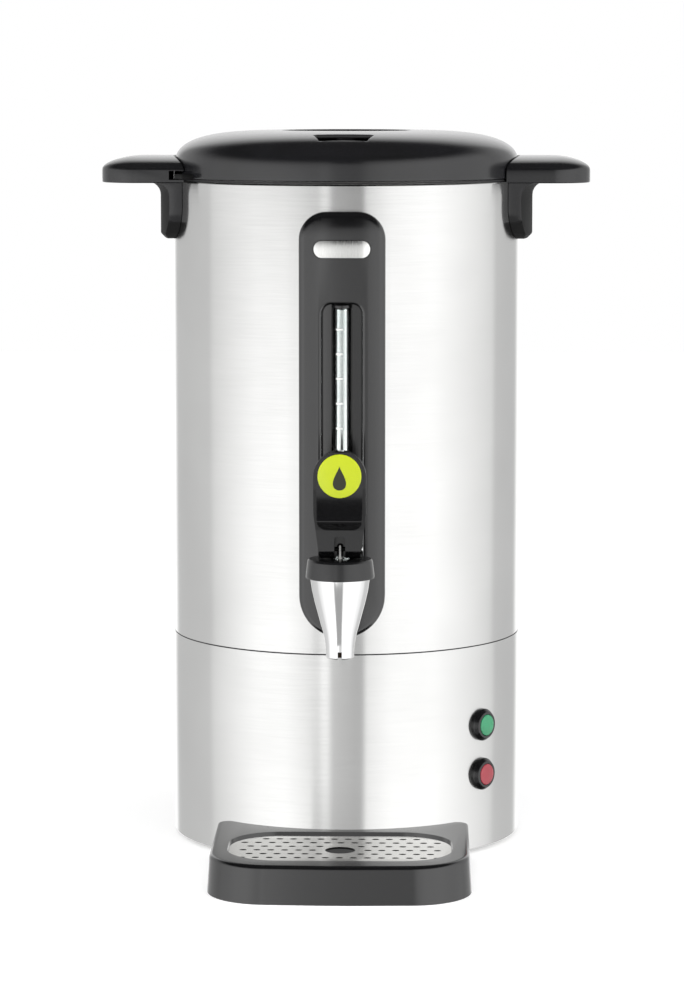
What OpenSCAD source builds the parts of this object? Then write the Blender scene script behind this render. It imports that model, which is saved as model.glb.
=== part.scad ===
// Coffee urn: a steel percolator with a twist lid, side handles, a sprung tap with a
// sight gauge, pilot lamps and a loose drip tray. Millimetres, +Z up, front towards -Y.

/* [Clearances] */
// Clearance between fixed pieces
fit = 0.15; // [0.1:0.05:0.3]
// Radial clearance of a running fit
run = 0.05; // [0.02:0.01:0.1]
// Clearance between pieces that move past each other
gap = 0.3; // [0.3:0.05:0.6]

/* [Tank] */
// Outer diameter of the tank
tank_d = 219; // [205:1:235]
// Height of the tank above the seam
tank_h = 285; // [270:1:310]
// Sheet thickness of the tank
tank_wall = 1.2; // [1:0.1:2]
// Height of the tank floor above the seam
floor_lift = 10; // [8:1:14]
// Width of the turned-in rim
rim_w = 6; // [5:0.5:8]
// Diameter of the pump well in the floor
well_d = 62; // [56:1:68]
// Depth of the pump well
well_depth = 9; // [6:1:12]

/* [Base] */
// How far the base shell stands proud of the tank
shell_proud = 0.5; // [0.2:0.1:1.5]
// Height of the seam above the table
base_h = 130; // [120:1:150]
// Sheet thickness of the base shell
shell_wall = 1.2; // [1:0.1:2]
// Height of the seam line
seam_gap = 1.2; // [0.8:0.1:2]
// Width of the joint ring under the seam
joint_w = 9; // [6:1:12]
// Height of each leg of the joint ring
joint_leg = 6; // [4:1:8]
// Thickness of the bottom plate
plate_t = 3; // [2:0.5:5]
// Width of the shell's turned-in lip above the bottom plate
lip_w = 7; // [5:1:10]
// Height of the feet
foot_h = 2.5; // [2.5:0.5:8]
// Diameter of a foot
foot_d = 22; // [16:1:28]
// Diameter of the circle through the feet
foot_ring = 164; // [140:1:180]
// Diameter of the tie studs
stud_d = 6; // [5:0.5:8]
// Distance from the tank's outside to the tie studs
stud_inset = 16.5; // [15.5:0.5:19]
// Height of a tie stud nut
nut_h = 1.9; // [1.6:0.1:2.2]

/* [Heating] */
// Inner diameter of the heating plate
heat_in_d = 100; // [98:1:110]
// Distance from the tank's outside to the heating plate's edge
heat_inset = 25.5; // [24:0.5:32]
// Thickness of the heating plate
heat_t = 4; // [3:0.5:6]
// Diameter of the heating tube
heat_tube_d = 8; // [6:0.5:10]
// Length of the heating tube's terminals
heat_pin = 16; // [10:1:24]
// Height of the pump heater
pump_heater_h = 12; // [8:1:16]
// Diameter of a thermostat
stat_d = 15; // [12:0.5:16]
// Height of a thermostat
stat_h = 7; // [5:0.5:10]
// Length of the terminal block
block_l = 36; // [30:1:44]
// Width of the terminal block
block_w = 17; // [14:1:22]
// Height of the terminal block
block_h = 14; // [10:1:18]

/* [Power inlet] */
// Height of the inlet's centre above the table
inlet_z = 36; // [30:1:60]
// Width of the inlet's flange
inlet_w = 50; // [48:1:56]
// Height of the inlet's flange
inlet_h = 24; // [23:0.5:30]
// How far the flange stands out of the shell
inlet_out = 3; // [2.5:0.5:5]
// Depth of the inlet behind its face
inlet_deep = 24; // [22:1:30]
// Width of the socket
socket_w = 25; // [24.5:0.1:26]
// Height of the socket
socket_h = 16.8; // [16.5:0.1:18]
// Depth of the socket
socket_deep = 17; // [16:0.5:19]
// Distance between the inlet's screws
inlet_pitch = 40; // [39:0.5:42]

/* [Pilot lamps] */
// Angle of the lamps to the right of the front
lamp_turn = 51; // [40:1:60]
// Height of the green lamp above the table
green_z = 80; // [76:1:100]
// Height of the red lamp above the table
red_z = 49; // [40:1:53]
// Outer diameter of a lamp bezel
bezel_d = 20; // [18:0.5:22]
// How far a bezel stands out of the shell
bezel_out = 4.5; // [3.5:0.5:6]
// Diameter of a lamp lens
lens_d = 13; // [11:0.5:14]
// Outer diameter of a lamp's barrel
barrel_d = 15.5; // [15:0.5:16.5]

/* [Handles] */
// Distance between the outer ends of the handles
handle_span = 307; // [296:1:320]
// Width of a handle
handle_w = 88; // [80:1:92]
// Radius of the grip's outer corners
grip_corner = 24; // [16:1:28]
// Thickness of the grip at its edge
grip_edge = 8.5; // [7:0.5:11]
// Rise of the grip's domed top
grip_dome = 8; // [6:0.5:10]
// Height of the grip's underside below the rim
grip_drop = 1; // [1:0.5:4]
// Thickness of the handle's leg
leg_t = 7.5; // [6.5:0.5:10]
// Length of the handle's leg below the grip
leg_l = 35; // [30:1:46]
// Radius of the leg's lower corners
leg_corner = 20; // [14:1:26]
// Chamfer at the foot of the leg
leg_chamfer = 3; // [2:0.5:5]
// Fillet between the grip and its leg
leg_fillet = 6; // [4:0.5:9]

/* [Front panel] */
// Width of the front panel
panel_w = 52; // [48:1:58]
// Thickness of the front panel
panel_t = 12.5; // [12:0.5:16]
// Height of the panel's lower end above the seam
panel_low = 12; // [8:1:14]
// Height of the panel's upper end below the rim
panel_drop = 16; // [12:1:24]
// Radius of the panel's upper corners
panel_corner = 16.5; // [12:0.5:22]
// Width of the gauge recess
recess_w = 24; // [22:1:30]
// Distance from the panel's upper end to the gauge recess
recess_drop = 55; // [48:1:64]
// Thickness of the panel behind the recess
recess_floor = 1; // [0.8:0.1:1.5]
// Width of the bare plate
badge_w = 34; // [28:1:40]
// Height of the bare plate
badge_h = 10.7; // [8:0.1:13]
// Distance from the panel's upper end to the plate's centre
badge_drop = 22; // [20:1:28]
// Depth that the plate is let into the panel
badge_sunk = 0.6; // [0.4:0.1:1]
// Thickness of the bare plate
badge_t = 1; // [0.8:0.1:1.4]

/* [Sight gauge] */
// Outer diameter of the sight glass
glass_d = 11; // [10:0.5:12]
// Wall of the sight glass
glass_wall = 1.4; // [1:0.1:2]
// Thickness of the gauge cap's rim
cap_t = 2.4; // [1.5:0.1:4]

/* [Tap] */
// Distance from the tank's axis to the spout
tap_reach = 162; // [158:1:176]
// Height of the spout's mouth above the seam
spout_lift = 7; // [4:1:9]
// Height of the spout's cone
cone_h = 48; // [45:1:54]
// Diameter of the cone at its top
cone_d = 35; // [33:0.5:38]
// Diameter of the spout's mouth
mouth_d = 17.8; // [17:0.2:20]
// Height of the straight part of the spout
mouth_h = 13; // [10:1:15]
// Bore of the spout
spout_bore = 11; // [9:0.5:12]
// Diameter of the valve chamber
chamber_d = 20; // [18:0.5:21]
// Height of the valve seat above the mouth
seat_lift = 20; // [18:1:21]
// Diameter of the shank outside the panel
shank_d = 22; // [20:0.5:24]
// Diameter of the shank's thread
thread_d = 16; // [15:0.5:17]
// Bore of the shank
shank_bore = 9; // [7:0.5:10]
// Diameter of the tap's flange
flange_d = 30; // [28:0.5:34]
// Thickness of the tap's flange
flange_t = 3; // [2:0.5:5]
// Height of the bonnet
bonnet_h = 11.4; // [10:0.2:14]
// Diameter of the bonnet at its foot
bonnet_d = 40.8; // [39:0.2:44]
// Taper of the bonnet's radius
bonnet_taper = 1.2; // [0.8:0.1:2]
// Diameter of the stem
stem_d = 5; // [4.5:0.1:5.4]
// Lift of the stem when the tap is open
tap_lift = 5; // [4:0.25:5.5]
// Diameter of the valve cup
cup_d = 17; // [15:0.5:17.4]
// Height of the valve cup
cup_h = 6; // [5:0.5:7]
// Diameter of the spring's wire
wire_d = 1.2; // [1:0.1:1.4]
// Mean diameter of the spring
coil_d = 11; // [10:0.5:12]
// Number of turns of the spring
coil_turns = 6; // [5:1:7]

/* [Lever] */
// Width of the lever's paddle
lever_w = 31; // [29:0.5:34]
// Width of the lever's foot
lever_foot_w = 24.5; // [22:0.5:26]
// Height of the lever above its pin
lever_h = 59.5; // [54:0.5:66]
// Height of the lever's ledge above its pin
ledge_h = 17.5; // [13:0.5:18]
// Distance from the pin to the lever's face
lever_front = 16; // [16:0.5:18]
// Thickness of the paddle
lever_t = 11; // [9:0.5:12.5]
// Width of the raised rim round the paddle
lever_rim = 1.4; // [1:0.1:1.8]
// Height of the raised rim round the paddle
lever_rim_h = 0.8; // [0.5:0.1:1.2]
// Depth of the scoop under the ledge
scoop_t = 3.5; // [2.5:0.5:4]
// Width of the lever's slot
slot_w = 6.4; // [6:0.1:7]
// Height of the pin above the bonnet
pin_lift = 5.6; // [5:0.1:6.5]
// Diameter of the pin
pin_d = 2.6; // [2.2:0.1:2.8]
// Forward tilt that opens the tap, in degrees
tilt_max = 60; // [50:1:60]
// Diameter of the lever's round badge
disc_d = 25.7; // [24:0.1:26]
// Thickness of the lever's round badge
disc_t = 1.2; // [1:0.1:1.6]

/* [Lid] */
// How far the lid's edge stands inside the tank's
lid_inset = 1.5; // [1:0.5:3]
// Height of the lid's skirt
skirt_h = 13.5; // [12:0.5:18]
// Height of the lid's dome
dome_h = 15.5; // [14:0.5:22]
// Wall of the lid
lid_wall = 2.4; // [2:0.1:3]
// Fullness of the dome's curve
dome_power = 2.15; // [2:0.05:2.6]
// Diameter of the grip recess
pocket_d = 82; // [70:1:90]
// Depth of the grip recess
pocket_h = 10; // [8:0.5:11]
// Width of the grip bar
bar_w = 18; // [14:1:22]
// Height of the grip bar below the lid's top
bar_drop = 2.5; // [2:0.5:4]
// Distance from the axis to the vent scoop's middle
vent_reach = 84; // [80:1:88]
// Width of the vent scoop
vent_w = 38; // [30:1:44]
// Length of the vent scoop
vent_l = 15; // [11:1:16]
// Depth of the vent scoop
vent_deep = 3; // [2.5:0.5:4]
// Thickness of the lid's seal
seal_t = 1; // [0.8:0.1:1.5]
// Thickness of the lid's liner
liner_t = 1.5; // [1:0.1:2]
// Depth of the liner's plug below the rim
plug_h = 6; // [4:1:9]
// Length of a bayonet tab beyond the lid
tab_out = 8; // [6:0.5:9]
// Thickness of a bayonet tab
tab_t = 3; // [2.5:0.1:3.5]
// Angle that a bayonet tab spans
tab_span = 6; // [4:0.5:7]

/* [Percolator] */
// Outer diameter of the riser tube
riser_d = 12; // [10:0.5:14]
// Wall of the riser tube
riser_wall = 1; // [0.8:0.1:1.5]
// Distance from the riser's top to the rim
riser_drop = 19; // [16:1:24]
// Diameter of the pump bell
bell_d = 54; // [48:1:55]
// Height of the pump bell
bell_h = 14; // [12:1:20]
// Diameter of the coffee basket
basket_d = 160; // [140:1:170]
// Height of the coffee basket
basket_h = 78; // [60:1:84]
// Sheet thickness of the basket and spreader
basket_wall = 1; // [0.8:0.1:1.5]
// Distance from the spreader to the riser's top
spread_drop = 14; // [12:1:18]

/* [Drip tray] */
// Width of the tray
tray_w = 157; // [150:1:170]
// Distance from the tank's axis to the tray's front
tray_reach = 218; // [212:1:228]
// Height of the tray
tray_h = 25; // [22:1:30]
// Radius of the tray's front corners
tray_corner = 30; // [24:1:36]
// Taper of the tray's sides
tray_draft = 3; // [1:0.5:4]
// Clearance between the tray and the base
tray_gap = 0.6; // [0.4:0.1:1.5]
// Width of the drip grid
grid_w = 133; // [126:1:136]
// Length of the drip grid
grid_l = 76; // [70:1:78]
// Distance from the tank's axis to the grid's middle
grid_reach = 160; // [158:1:162]
// Radius of the grid's corners
grid_corner = 30; // [20:1:34]
// Thickness of the drip grid
grid_t = 1.2; // [1:0.1:2]
// Depth of the grid below the tray's top
grid_drop = 2.5; // [2:0.5:4]
// Width of the ledge that carries the grid
ledge_w = 4; // [3:0.5:6]
// Thickness of the tray's floor
tray_floor = 3; // [2:0.5:4]
// Diameter of the grid's drain hole
drain_d = 17; // [14:0.5:20]
// Diameter of the grid's small holes
hole_d = 3.2; // [2.4:0.1:3.6]
// Number of columns of small holes
hole_columns = 17; // [13:2:19]

/* [Hidden] */
$fn = 96;

// Radii and levels
tank_r = tank_d / 2;
tank_in = tank_r - tank_wall;
base_r = tank_r + shell_proud;
shell_in = base_r - shell_wall;
rim_z = base_h + tank_h;
rim_in = tank_r - rim_w;
floor_z = base_h + floor_lift;
floor_top = floor_z + tank_wall;
plate_z = foot_h;
plate_top = plate_z + plate_t;
well_z = floor_z - well_depth;
heat_out_r = tank_r - heat_inset;
tag_w = 2;
tag_t = 1;
tag_l = 7;
barrel_l = 14;
axis_y = (tray_reach - base_r - inlet_out) / 2;
reach = tank_d;

// Power inlet
inlet_screw_r = 1.5;
sink_h = 1.5;

// Tap
mouth_z = base_h + spout_lift;
cone_top = mouth_z + cone_h;
seat_z = mouth_z + seat_lift;
bonnet_top = cone_top + bonnet_h;
pin_z = bonnet_top + pin_lift;
stem_r = stem_d / 2;
pin_r = pin_d / 2;
neck_h = 5;
shank_z = base_h + panel_low + panel_w / 2;
spring_low = seat_z + gap + cup_h;
spring_high = bonnet_top - 4;
lift_rate = tap_lift / (tilt_max * PI / 180);
heel = pin_lift - gap;
disc_h = lever_h - lever_rim - 2 * fit - disc_d / 2;

// Panel and gauge
panel_r = tank_r + panel_t;
panel_z = base_h + panel_low;
panel_top = rim_z - panel_drop;
recess_top = panel_top - recess_drop;
badge_z = panel_top - badge_drop;
glass_r = glass_d / 2;
glass_y = tank_r + recess_floor + gap + glass_r;
fitting_r = thread_d / 2 + 6;
fitting_y = panel_r - 1.6;
gasket_t = 1.6;
gasket_y = tank_r + gasket_t;
socket_low = shank_z + flange_d / 2 + fit;
gauge_socket_h = 13;
socket_top = socket_low + gauge_socket_h;
glass_low = socket_low + 3;
neck_r = glass_r - 1;
glass_top = recess_top - fit - cap_t;

// Lid
lid_r = tank_r - lid_inset;
seal_z = rim_z + gap;
skirt_z = seal_z + seal_t + gap;
skirt_top = skirt_z + skirt_h;
lid_top = skirt_top + dome_h;
pocket_r = pocket_d / 2;
pocket_floor = lid_top - pocket_h;
tab_z = skirt_z + 0.2;
tab_start = asin((handle_w / 2 + gap) / lid_r) + 0.3;
liner_z = skirt_z;
plug_r = rim_in - gap - 0.2;
lid_post_ring = 62;
lid_screw_l = 11;
vent_slot_w = 12;
vent_slot_l = 3;

// Handles
handle_r = lid_r + 1;
grip_z = rim_z - grip_drop;
grip_top = grip_z + grip_edge + grip_dome;
pillow_r = (grip_corner * grip_corner + grip_dome * grip_dome) / (2 * grip_dome);
leg_low = grip_z - leg_l;
handle_screw_z = grip_z - leg_l / 2;
handle_screw_y = 17;
handle_screw_r = 2;
screw_head_r = 4;
screw_head_h = 2.4;

// Percolator
riser_low = well_z + tank_wall + gap;
riser_top = rim_z - riser_drop;
spread_z = riser_top - spread_drop;
basket_r = basket_d / 2;
basket_top = spread_z - gap;
basket_low = basket_top - basket_h;

// Tray
grid_top = tray_h - grid_drop;
grid_low = grid_top - grid_t;
hole_margin = 12;

// Points on an arc of a circle, with angles in degrees
function arc(c, r, a, b, n) =
    [for (i = [0:n]) c + r * [cos(a + (b - a) * i / n), sin(a + (b - a) * i / n)]];

// Points on the rounded curve of the lid from the skirt to the grip recess
function dome(r_low, r_high, z, h, n) =
    [for (i = [0:n]) let (a = 90 * i / n)
        [r_high + (r_low - r_high) * pow(cos(a), 2 / dome_power), z + h * pow(sin(a), 2 / dome_power)]];

// Height of the lid's curve above the skirt at a distance from the axis
function dome_rise(r) = let (a = acos(pow((r - pocket_r) / (lid_r - pocket_r), dome_power / 2)))
    dome_h * pow(sin(a), 2 / dome_power);

module at_axis() {
    translate([0, axis_y, 0]) children();
}

// Turns an outline drawn in X and Z so that it is swept towards the front
module forward() {
    rotate([90, 0, 0]) children();
}

// Turns an outline drawn in Y and Z so that it is swept along X
module across() {
    rotate([90, 0, 90]) children();
}

module ring(r_out, r_in, z, h) {
    translate([0, 0, z]) difference() {
        cylinder(h = h, r = r_out);
        translate([0, 0, -1]) cylinder(h = h + 2, r = r_in);
    }
}

// Outline standing on its base line, with round upper and lower corners
module tall_outline(w, h, r_up, r_down) {
    translate([-w / 2, r_down]) square([w, h - r_up - r_down]);
    translate([r_up - w / 2, h - r_up - 1]) square([w - 2 * r_up, r_up + 1]);
    translate([r_down - w / 2, 0]) square([w - 2 * r_down, r_down + 1]);
    for (s = [-1, 1]) {
        translate([s * (w / 2 - r_up), h - r_up]) circle(r = r_up);
        translate([s * (w / 2 - r_down), r_down]) circle(r = r_down);
    }
}

// Outline with four round corners about the origin
module flat_outline(w, h, r) {
    translate([0, -h / 2]) tall_outline(w, h, r, r);
}

module hex_nut(r, hole, h) {
    difference() {
        cylinder(h = h, r = r, $fn = 6);
        translate([0, 0, -1]) cylinder(h = h + 2, r = hole);
    }
}

module at_studs() {
    for (a = [30, 150, 270]) rotate(a) translate([tank_r - stud_inset, 0, 0]) children();
}

module at_lamp(z) {
    rotate(lamp_turn) translate([0, 0, z]) forward() children();
}

module tank() {
    color("gainsboro") at_axis() difference() {
        rotate_extrude() polygon([
            [tank_r, base_h + seam_gap / 2], [tank_r, rim_z], [rim_in, rim_z], [rim_in, rim_z - tank_wall],
            [tank_in, rim_z - tank_wall], [tank_in, floor_top], [well_d / 2, floor_top],
            [well_d / 2, well_z + tank_wall], [0, well_z + tank_wall], [0, well_z],
            [well_d / 2 + tank_wall, well_z], [well_d / 2 + tank_wall, floor_z], [tank_in, floor_z],
            [tank_in, base_h + seam_gap / 2]]);
        translate([0, 0, shank_z]) forward() cylinder(h = reach, r = thread_d / 2 + fit);
        for (s = [0, 180], y = [-1, 1]) rotate(s)
            translate([0, y * handle_screw_y, handle_screw_z]) rotate([0, 90, 0])
                cylinder(h = reach, r = handle_screw_r + fit);
    }
}

module joint_ring() {
    color("dimgray") at_axis() {
        ring(tank_r - 0.5, tank_in - joint_w, base_h - seam_gap / 2, seam_gap);
        ring(tank_in - fit, tank_in - fit - 2, base_h + seam_gap / 2, joint_leg);
        ring(shell_in - fit, shell_in - fit - 2, base_h - seam_gap / 2 - joint_leg, joint_leg);
    }
}

module base_shell() {
    color("gainsboro") at_axis() difference() {
        rotate_extrude() polygon([
            [base_r, plate_z], [base_r, base_h - seam_gap / 2], [shell_in, base_h - seam_gap / 2],
            [shell_in, plate_top + shell_wall], [shell_in - lip_w, plate_top + shell_wall],
            [shell_in - lip_w, plate_top], [shell_in, plate_top], [shell_in, plate_z]]);
        for (z = [green_z, red_z]) at_lamp(z) cylinder(h = reach, r = barrel_d / 2 + fit);
        translate([0, 0, inlet_z]) forward() mirror([0, 0, 1])
            linear_extrude(reach) square([socket_w + 3 + 2 * fit, socket_h + 3 + 2 * fit], center = true);
        translate([0, 0, inlet_z]) for (s = [-1, 1]) translate([s * inlet_pitch / 2, 0, 0])
            forward() mirror([0, 0, 1]) cylinder(h = reach, r = inlet_screw_r + fit);
    }
}

module bottom_plate() {
    color("dimgray") at_axis() difference() {
        translate([0, 0, plate_z]) cylinder(h = plate_t, r = shell_in - fit);
        translate([0, 0, plate_z - 1]) at_studs() cylinder(h = plate_t + 2, r = stud_d / 2 + fit);
        for (a = [45:90:315]) rotate(a) translate([foot_ring / 2, 0, plate_z - 1])
            cylinder(h = plate_t + 2, r = foot_d / 6 + fit);
        for (a = [0:30:330]) rotate(a) translate([foot_ring / 4, 0, plate_z - 1])
            cylinder(h = plate_t + 2, r = 3);
    }
}

module feet() {
    color("dimgray") at_axis() for (a = [45:90:315]) rotate(a) translate([foot_ring / 2, 0, 0]) {
        cylinder(h = plate_z, r1 = foot_d / 2 - 1, r2 = foot_d / 2);
        cylinder(h = plate_top + 1, r = foot_d / 6);
    }
}

module tie_studs() {
    color("silver") at_axis() at_studs() translate([0, 0, plate_z - nut_h])
        cylinder(h = floor_z - plate_z + nut_h, r = stud_d / 2);
}

module tie_nuts() {
    color("silver") at_axis() at_studs() translate([0, 0, plate_z - nut_h])
        hex_nut(stud_d, stud_d / 2 + run, nut_h);
}

module heating_plate() {
    color("silver") at_axis() ring(heat_out_r, heat_in_d / 2, floor_z - heat_t, heat_t);
}

module heating_tube() {
    tube_ring = (heat_in_d / 2 + heat_out_r) / 2;
    tube_z = floor_z - heat_t - heat_tube_d / 2;
    color("gray") at_axis() translate([0, 0, tube_z]) {
        rotate(105) rotate_extrude(angle = 330) translate([tube_ring, 0]) circle(d = heat_tube_d);
        for (a = [75, 105]) rotate(a) translate([tube_ring, 0, -heat_pin])
            cylinder(h = heat_pin, d = heat_tube_d * 0.9);
    }
}

module pump_heater() {
    color("silver") at_axis() difference() {
        translate([0, 0, well_z - pump_heater_h]) cylinder(h = pump_heater_h, r = well_d / 2 - 2);
        translate([0, 0, well_z - pump_heater_h - 1]) cylinder(h = pump_heater_h - 3, r = well_d / 4);
    }
}

module thermostats() {
    stat_reach = (well_d / 2 + tank_wall + heat_in_d / 2) / 2;
    color("tan") at_axis() for (a = [0, 180]) rotate(a) translate([stat_reach, 0, floor_z - stat_h]) {
        cylinder(h = stat_h, d = stat_d);
        for (s = [-1, 1]) translate([-tag_w / 2, s * stat_d / 4 - tag_t / 2, 1 - tag_l])
            cube([tag_w, tag_t, tag_l]);
    }
}

module terminal_block() {
    pole = block_l / 3;
    color("ivory") at_axis() translate([-block_l / 2, shell_in / 3, plate_top]) difference() {
        cube([block_l, block_w, block_h]);
        for (i = [0:2]) translate([pole * (i + 0.5), -1, block_h / 2]) rotate([-90, 0, 0])
            cylinder(h = block_w + 2, d = pole / 2);
    }
}

// The inlet is drawn with its face on the XY plane, its width along X and +Z outwards
module at_inlet() {
    translate([0, base_r + inlet_out, inlet_z]) rotate([-90, 0, 0]) children();
}

module power_inlet() {
    color("#2b2b2b") at_axis() difference() {
        union() {
            intersection() {
                at_inlet() translate([0, 0, -2 * inlet_out - 4]) linear_extrude(2 * inlet_out + 4)
                    flat_outline(inlet_w, inlet_h, 3);
                difference() {
                    translate([-reach, 0, 0]) cube([2 * reach, 2 * reach, base_h]);
                    cylinder(h = base_h, r = base_r + fit);
                }
            }
            at_inlet() translate([0, 0, -inlet_deep]) linear_extrude(inlet_deep)
                square([socket_w + 3, socket_h + 3], center = true);
        }
        at_inlet() translate([0, 0, -socket_deep]) linear_extrude(socket_deep + 1)
            flat_outline(socket_w, socket_h, 2);
        for (s = [-1, 0, 1]) at_inlet() translate([s * 7, s == 0 ? -2 : 2, -inlet_deep - 1])
            linear_extrude(inlet_deep) square([2 + 2 * run, 4 + 2 * run], center = true);
        for (s = [-1, 1]) at_inlet() translate([s * inlet_pitch / 2, 0, 0]) {
            translate([0, 0, -inlet_deep]) cylinder(h = inlet_deep + 1, r = inlet_screw_r + fit);
            translate([0, 0, -sink_h])
                cylinder(h = sink_h, r1 = inlet_screw_r + fit, r2 = inlet_screw_r + sink_h + fit);
        }
    }
}

module inlet_pins() {
    color("silver") at_axis() for (s = [-1, 0, 1])
        at_inlet() translate([s * 7, s == 0 ? -2 : 2, -inlet_deep - 7])
            linear_extrude(inlet_deep + 4) square([2, 4], center = true);
}

module inlet_screws() {
    color("silver") at_axis() for (s = [-1, 1]) at_inlet() translate([s * inlet_pitch / 2, 0, 0]) {
        translate([0, 0, -sink_h]) cylinder(h = sink_h, r1 = inlet_screw_r, r2 = inlet_screw_r + sink_h);
        translate([0, 0, -9]) cylinder(h = 9 - sink_h / 2, r = inlet_screw_r);
    }
}

module bezel(z) {
    color("#2b2b2b") at_axis() difference() {
        at_lamp(z) union() {
            translate([0, 0, base_r - 2]) cylinder(h = 2 + bezel_out * 0.5, r = bezel_d / 2);
            translate([0, 0, base_r + bezel_out * 0.5])
                cylinder(h = bezel_out * 0.5, r1 = bezel_d / 2, r2 = bezel_d / 2 - bezel_out * 0.5);
            translate([0, 0, base_r - barrel_l]) cylinder(h = barrel_l, r = barrel_d / 2);
        }
        difference() {
            cylinder(h = base_h, r = base_r + fit);
            at_lamp(z) cylinder(h = reach, r = barrel_d / 2);
        }
        at_lamp(z) translate([0, 0, base_r - 3]) cylinder(h = bezel_out + 4, r = lens_d / 2 + fit);
    }
}

module green_bezel() {
    bezel(green_z);
}

module red_bezel() {
    bezel(red_z);
}

module lens(z) {
    at_axis() at_lamp(z) translate([0, 0, base_r - 3 + fit]) cylinder(h = bezel_out + 3.2, r = lens_d / 2);
}

module green_lens() {
    color("#3fae7c") lens(green_z);
}

module red_lens() {
    color("#c04a55") lens(red_z);
}

module lamp_nuts() {
    nut_face = sqrt(shell_in * shell_in - bezel_d * bezel_d / 4) - fit;
    color("silver") at_axis() for (z = [green_z, red_z]) at_lamp(z) translate([0, 0, nut_face - 4])
        hex_nut(bezel_d / 2, barrel_d / 2 + run, 4);
}

// Domed top of the grip: a ball at each outer corner, rolls between them and a flat middle
module grip_pillow() {
    ball_x = handle_span / 2 - grip_corner;
    ball_y = handle_w / 2 - grip_corner;
    translate([0, 0, grip_top - pillow_r]) {
        for (s = [-1, 1]) translate([0, s * ball_y, 0]) {
            translate([ball_x, 0, 0]) sphere(r = pillow_r);
            rotate([0, 90, 0]) cylinder(h = ball_x, r = pillow_r);
        }
        translate([ball_x, ball_y, 0]) forward() cylinder(h = 2 * ball_y, r = pillow_r);
        translate([0, -ball_y, 0]) cube([ball_x, 2 * ball_y, pillow_r]);
    }
}

// A handle at the right-hand side, with its lock slot open to the back
module handle() {
    leg_r = tank_r + leg_t;
    difference() {
        union() {
            intersection() {
                rotate([0, 0, -90]) rotate_extrude(angle = 180) polygon(concat(
                    [[tank_r + fit, grip_z + 1], [tank_r + fit, leg_low], [leg_r - leg_chamfer, leg_low],
                        [leg_r, leg_low + leg_chamfer]],
                    arc([leg_r + leg_fillet, grip_z - leg_fillet], leg_fillet, 180, 90, 6),
                    [[leg_r + leg_fillet, grip_z + 1]]));
                translate([0, 0, leg_low]) across()
                    linear_extrude(reach) tall_outline(handle_w, leg_l + 2 + leg_corner, 2, leg_corner);
            }
            intersection() {
                translate([0, 0, grip_z]) linear_extrude(grip_edge + grip_dome) difference() {
                    intersection() {
                        flat_outline(handle_span, handle_w, grip_corner);
                        translate([0, -reach]) square(2 * reach);
                    }
                    circle(r = handle_r);
                }
                grip_pillow();
            }
        }
        translate([0, 0, grip_z - 1]) cylinder(h = rim_z - grip_z + 1 + fit, r = tank_r + fit);
        translate([0, 0, tab_z - 0.6]) rotate(4) rotate_extrude(angle = 40) translate([lid_r - 1, 0])
            square([tab_out + 2.5, tab_t + 1.2]);
        for (s = [-1, 1]) translate([tank_r - 4, s * handle_screw_y, handle_screw_z]) rotate([0, 90, 0])
            cylinder(h = leg_t + 1, r = handle_screw_r + run);
    }
}

module handle_right() {
    color("#3a3a3a") at_axis() handle();
}

module handle_left() {
    color("#3a3a3a") at_axis() rotate(180) handle();
}

module handle_screws() {
    head_x = sqrt(tank_in * tank_in - pow(handle_screw_y + screw_head_r, 2)) - fit;
    color("silver") at_axis() for (a = [0, 180], s = [-1, 1]) rotate(a)
        translate([head_x, s * handle_screw_y, handle_screw_z]) rotate([0, 90, 0]) {
            translate([0, 0, -screw_head_h]) cylinder(h = screw_head_h, r = screw_head_r);
            translate([0, 0, -1]) cylinder(h = tank_r - head_x + leg_t - 3, r = handle_screw_r);
        }
}

// Outline of the gauge recess, from the fitting's socket to the gauge cap
module recess_outline() {
    translate([0, socket_low]) tall_outline(recess_w, recess_top - socket_low, 3, 3);
}

module front_panel() {
    color("#3f3f3f") at_axis() difference() {
        intersection() {
            ring(panel_r, tank_r + fit, 0, rim_z);
            translate([0, 0, panel_z]) forward() linear_extrude(reach)
                tall_outline(panel_w, panel_top - panel_z, panel_corner, panel_w / 2 - 0.5);
        }
        difference() {
            forward() linear_extrude(reach) recess_outline();
            cylinder(h = rim_z, r = tank_r + recess_floor);
        }
        difference() {
            translate([0, 0, badge_z]) forward() linear_extrude(reach)
                flat_outline(badge_w + 2 * fit, badge_h + 2 * fit, badge_h / 2 - 0.3);
            cylinder(h = rim_z, r = panel_r - badge_sunk);
        }
        translate([0, 0, shank_z]) forward() cylinder(h = reach, r = thread_d / 2 + fit);
        translate([0, 0, shank_z]) forward() cylinder(h = fitting_y + fit, r = fitting_r + fit);
        translate([0, -glass_y, recess_top - 1]) cylinder(h = 8, r = glass_r - glass_wall);
        translate([0, -glass_y, shank_z]) cylinder(h = socket_top - shank_z, r = neck_r + fit);
    }
}

module badge_plate() {
    color("silver") at_axis() intersection() {
        ring(panel_r - badge_sunk + badge_t, panel_r - badge_sunk + fit, 0, rim_z);
        translate([0, 0, badge_z]) forward() linear_extrude(reach)
            flat_outline(badge_w, badge_h, badge_h / 2 - 0.3);
    }
}

module sight_glass() {
    color("azure") at_axis() translate([0, -glass_y, 0])
        ring(glass_r, glass_r - glass_wall, glass_low, glass_top - glass_low);
}

module gauge_cap() {
    spigot_r = glass_r - glass_wall - fit;
    color("#2b2b2b") at_axis() translate([0, -glass_y, 0]) {
        translate([0, 0, glass_top]) cylinder(h = cap_t, r = glass_r + gap / 2);
        translate([0, 0, glass_top - 5]) cylinder(h = cap_t + 11, r = spigot_r);
    }
}

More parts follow.
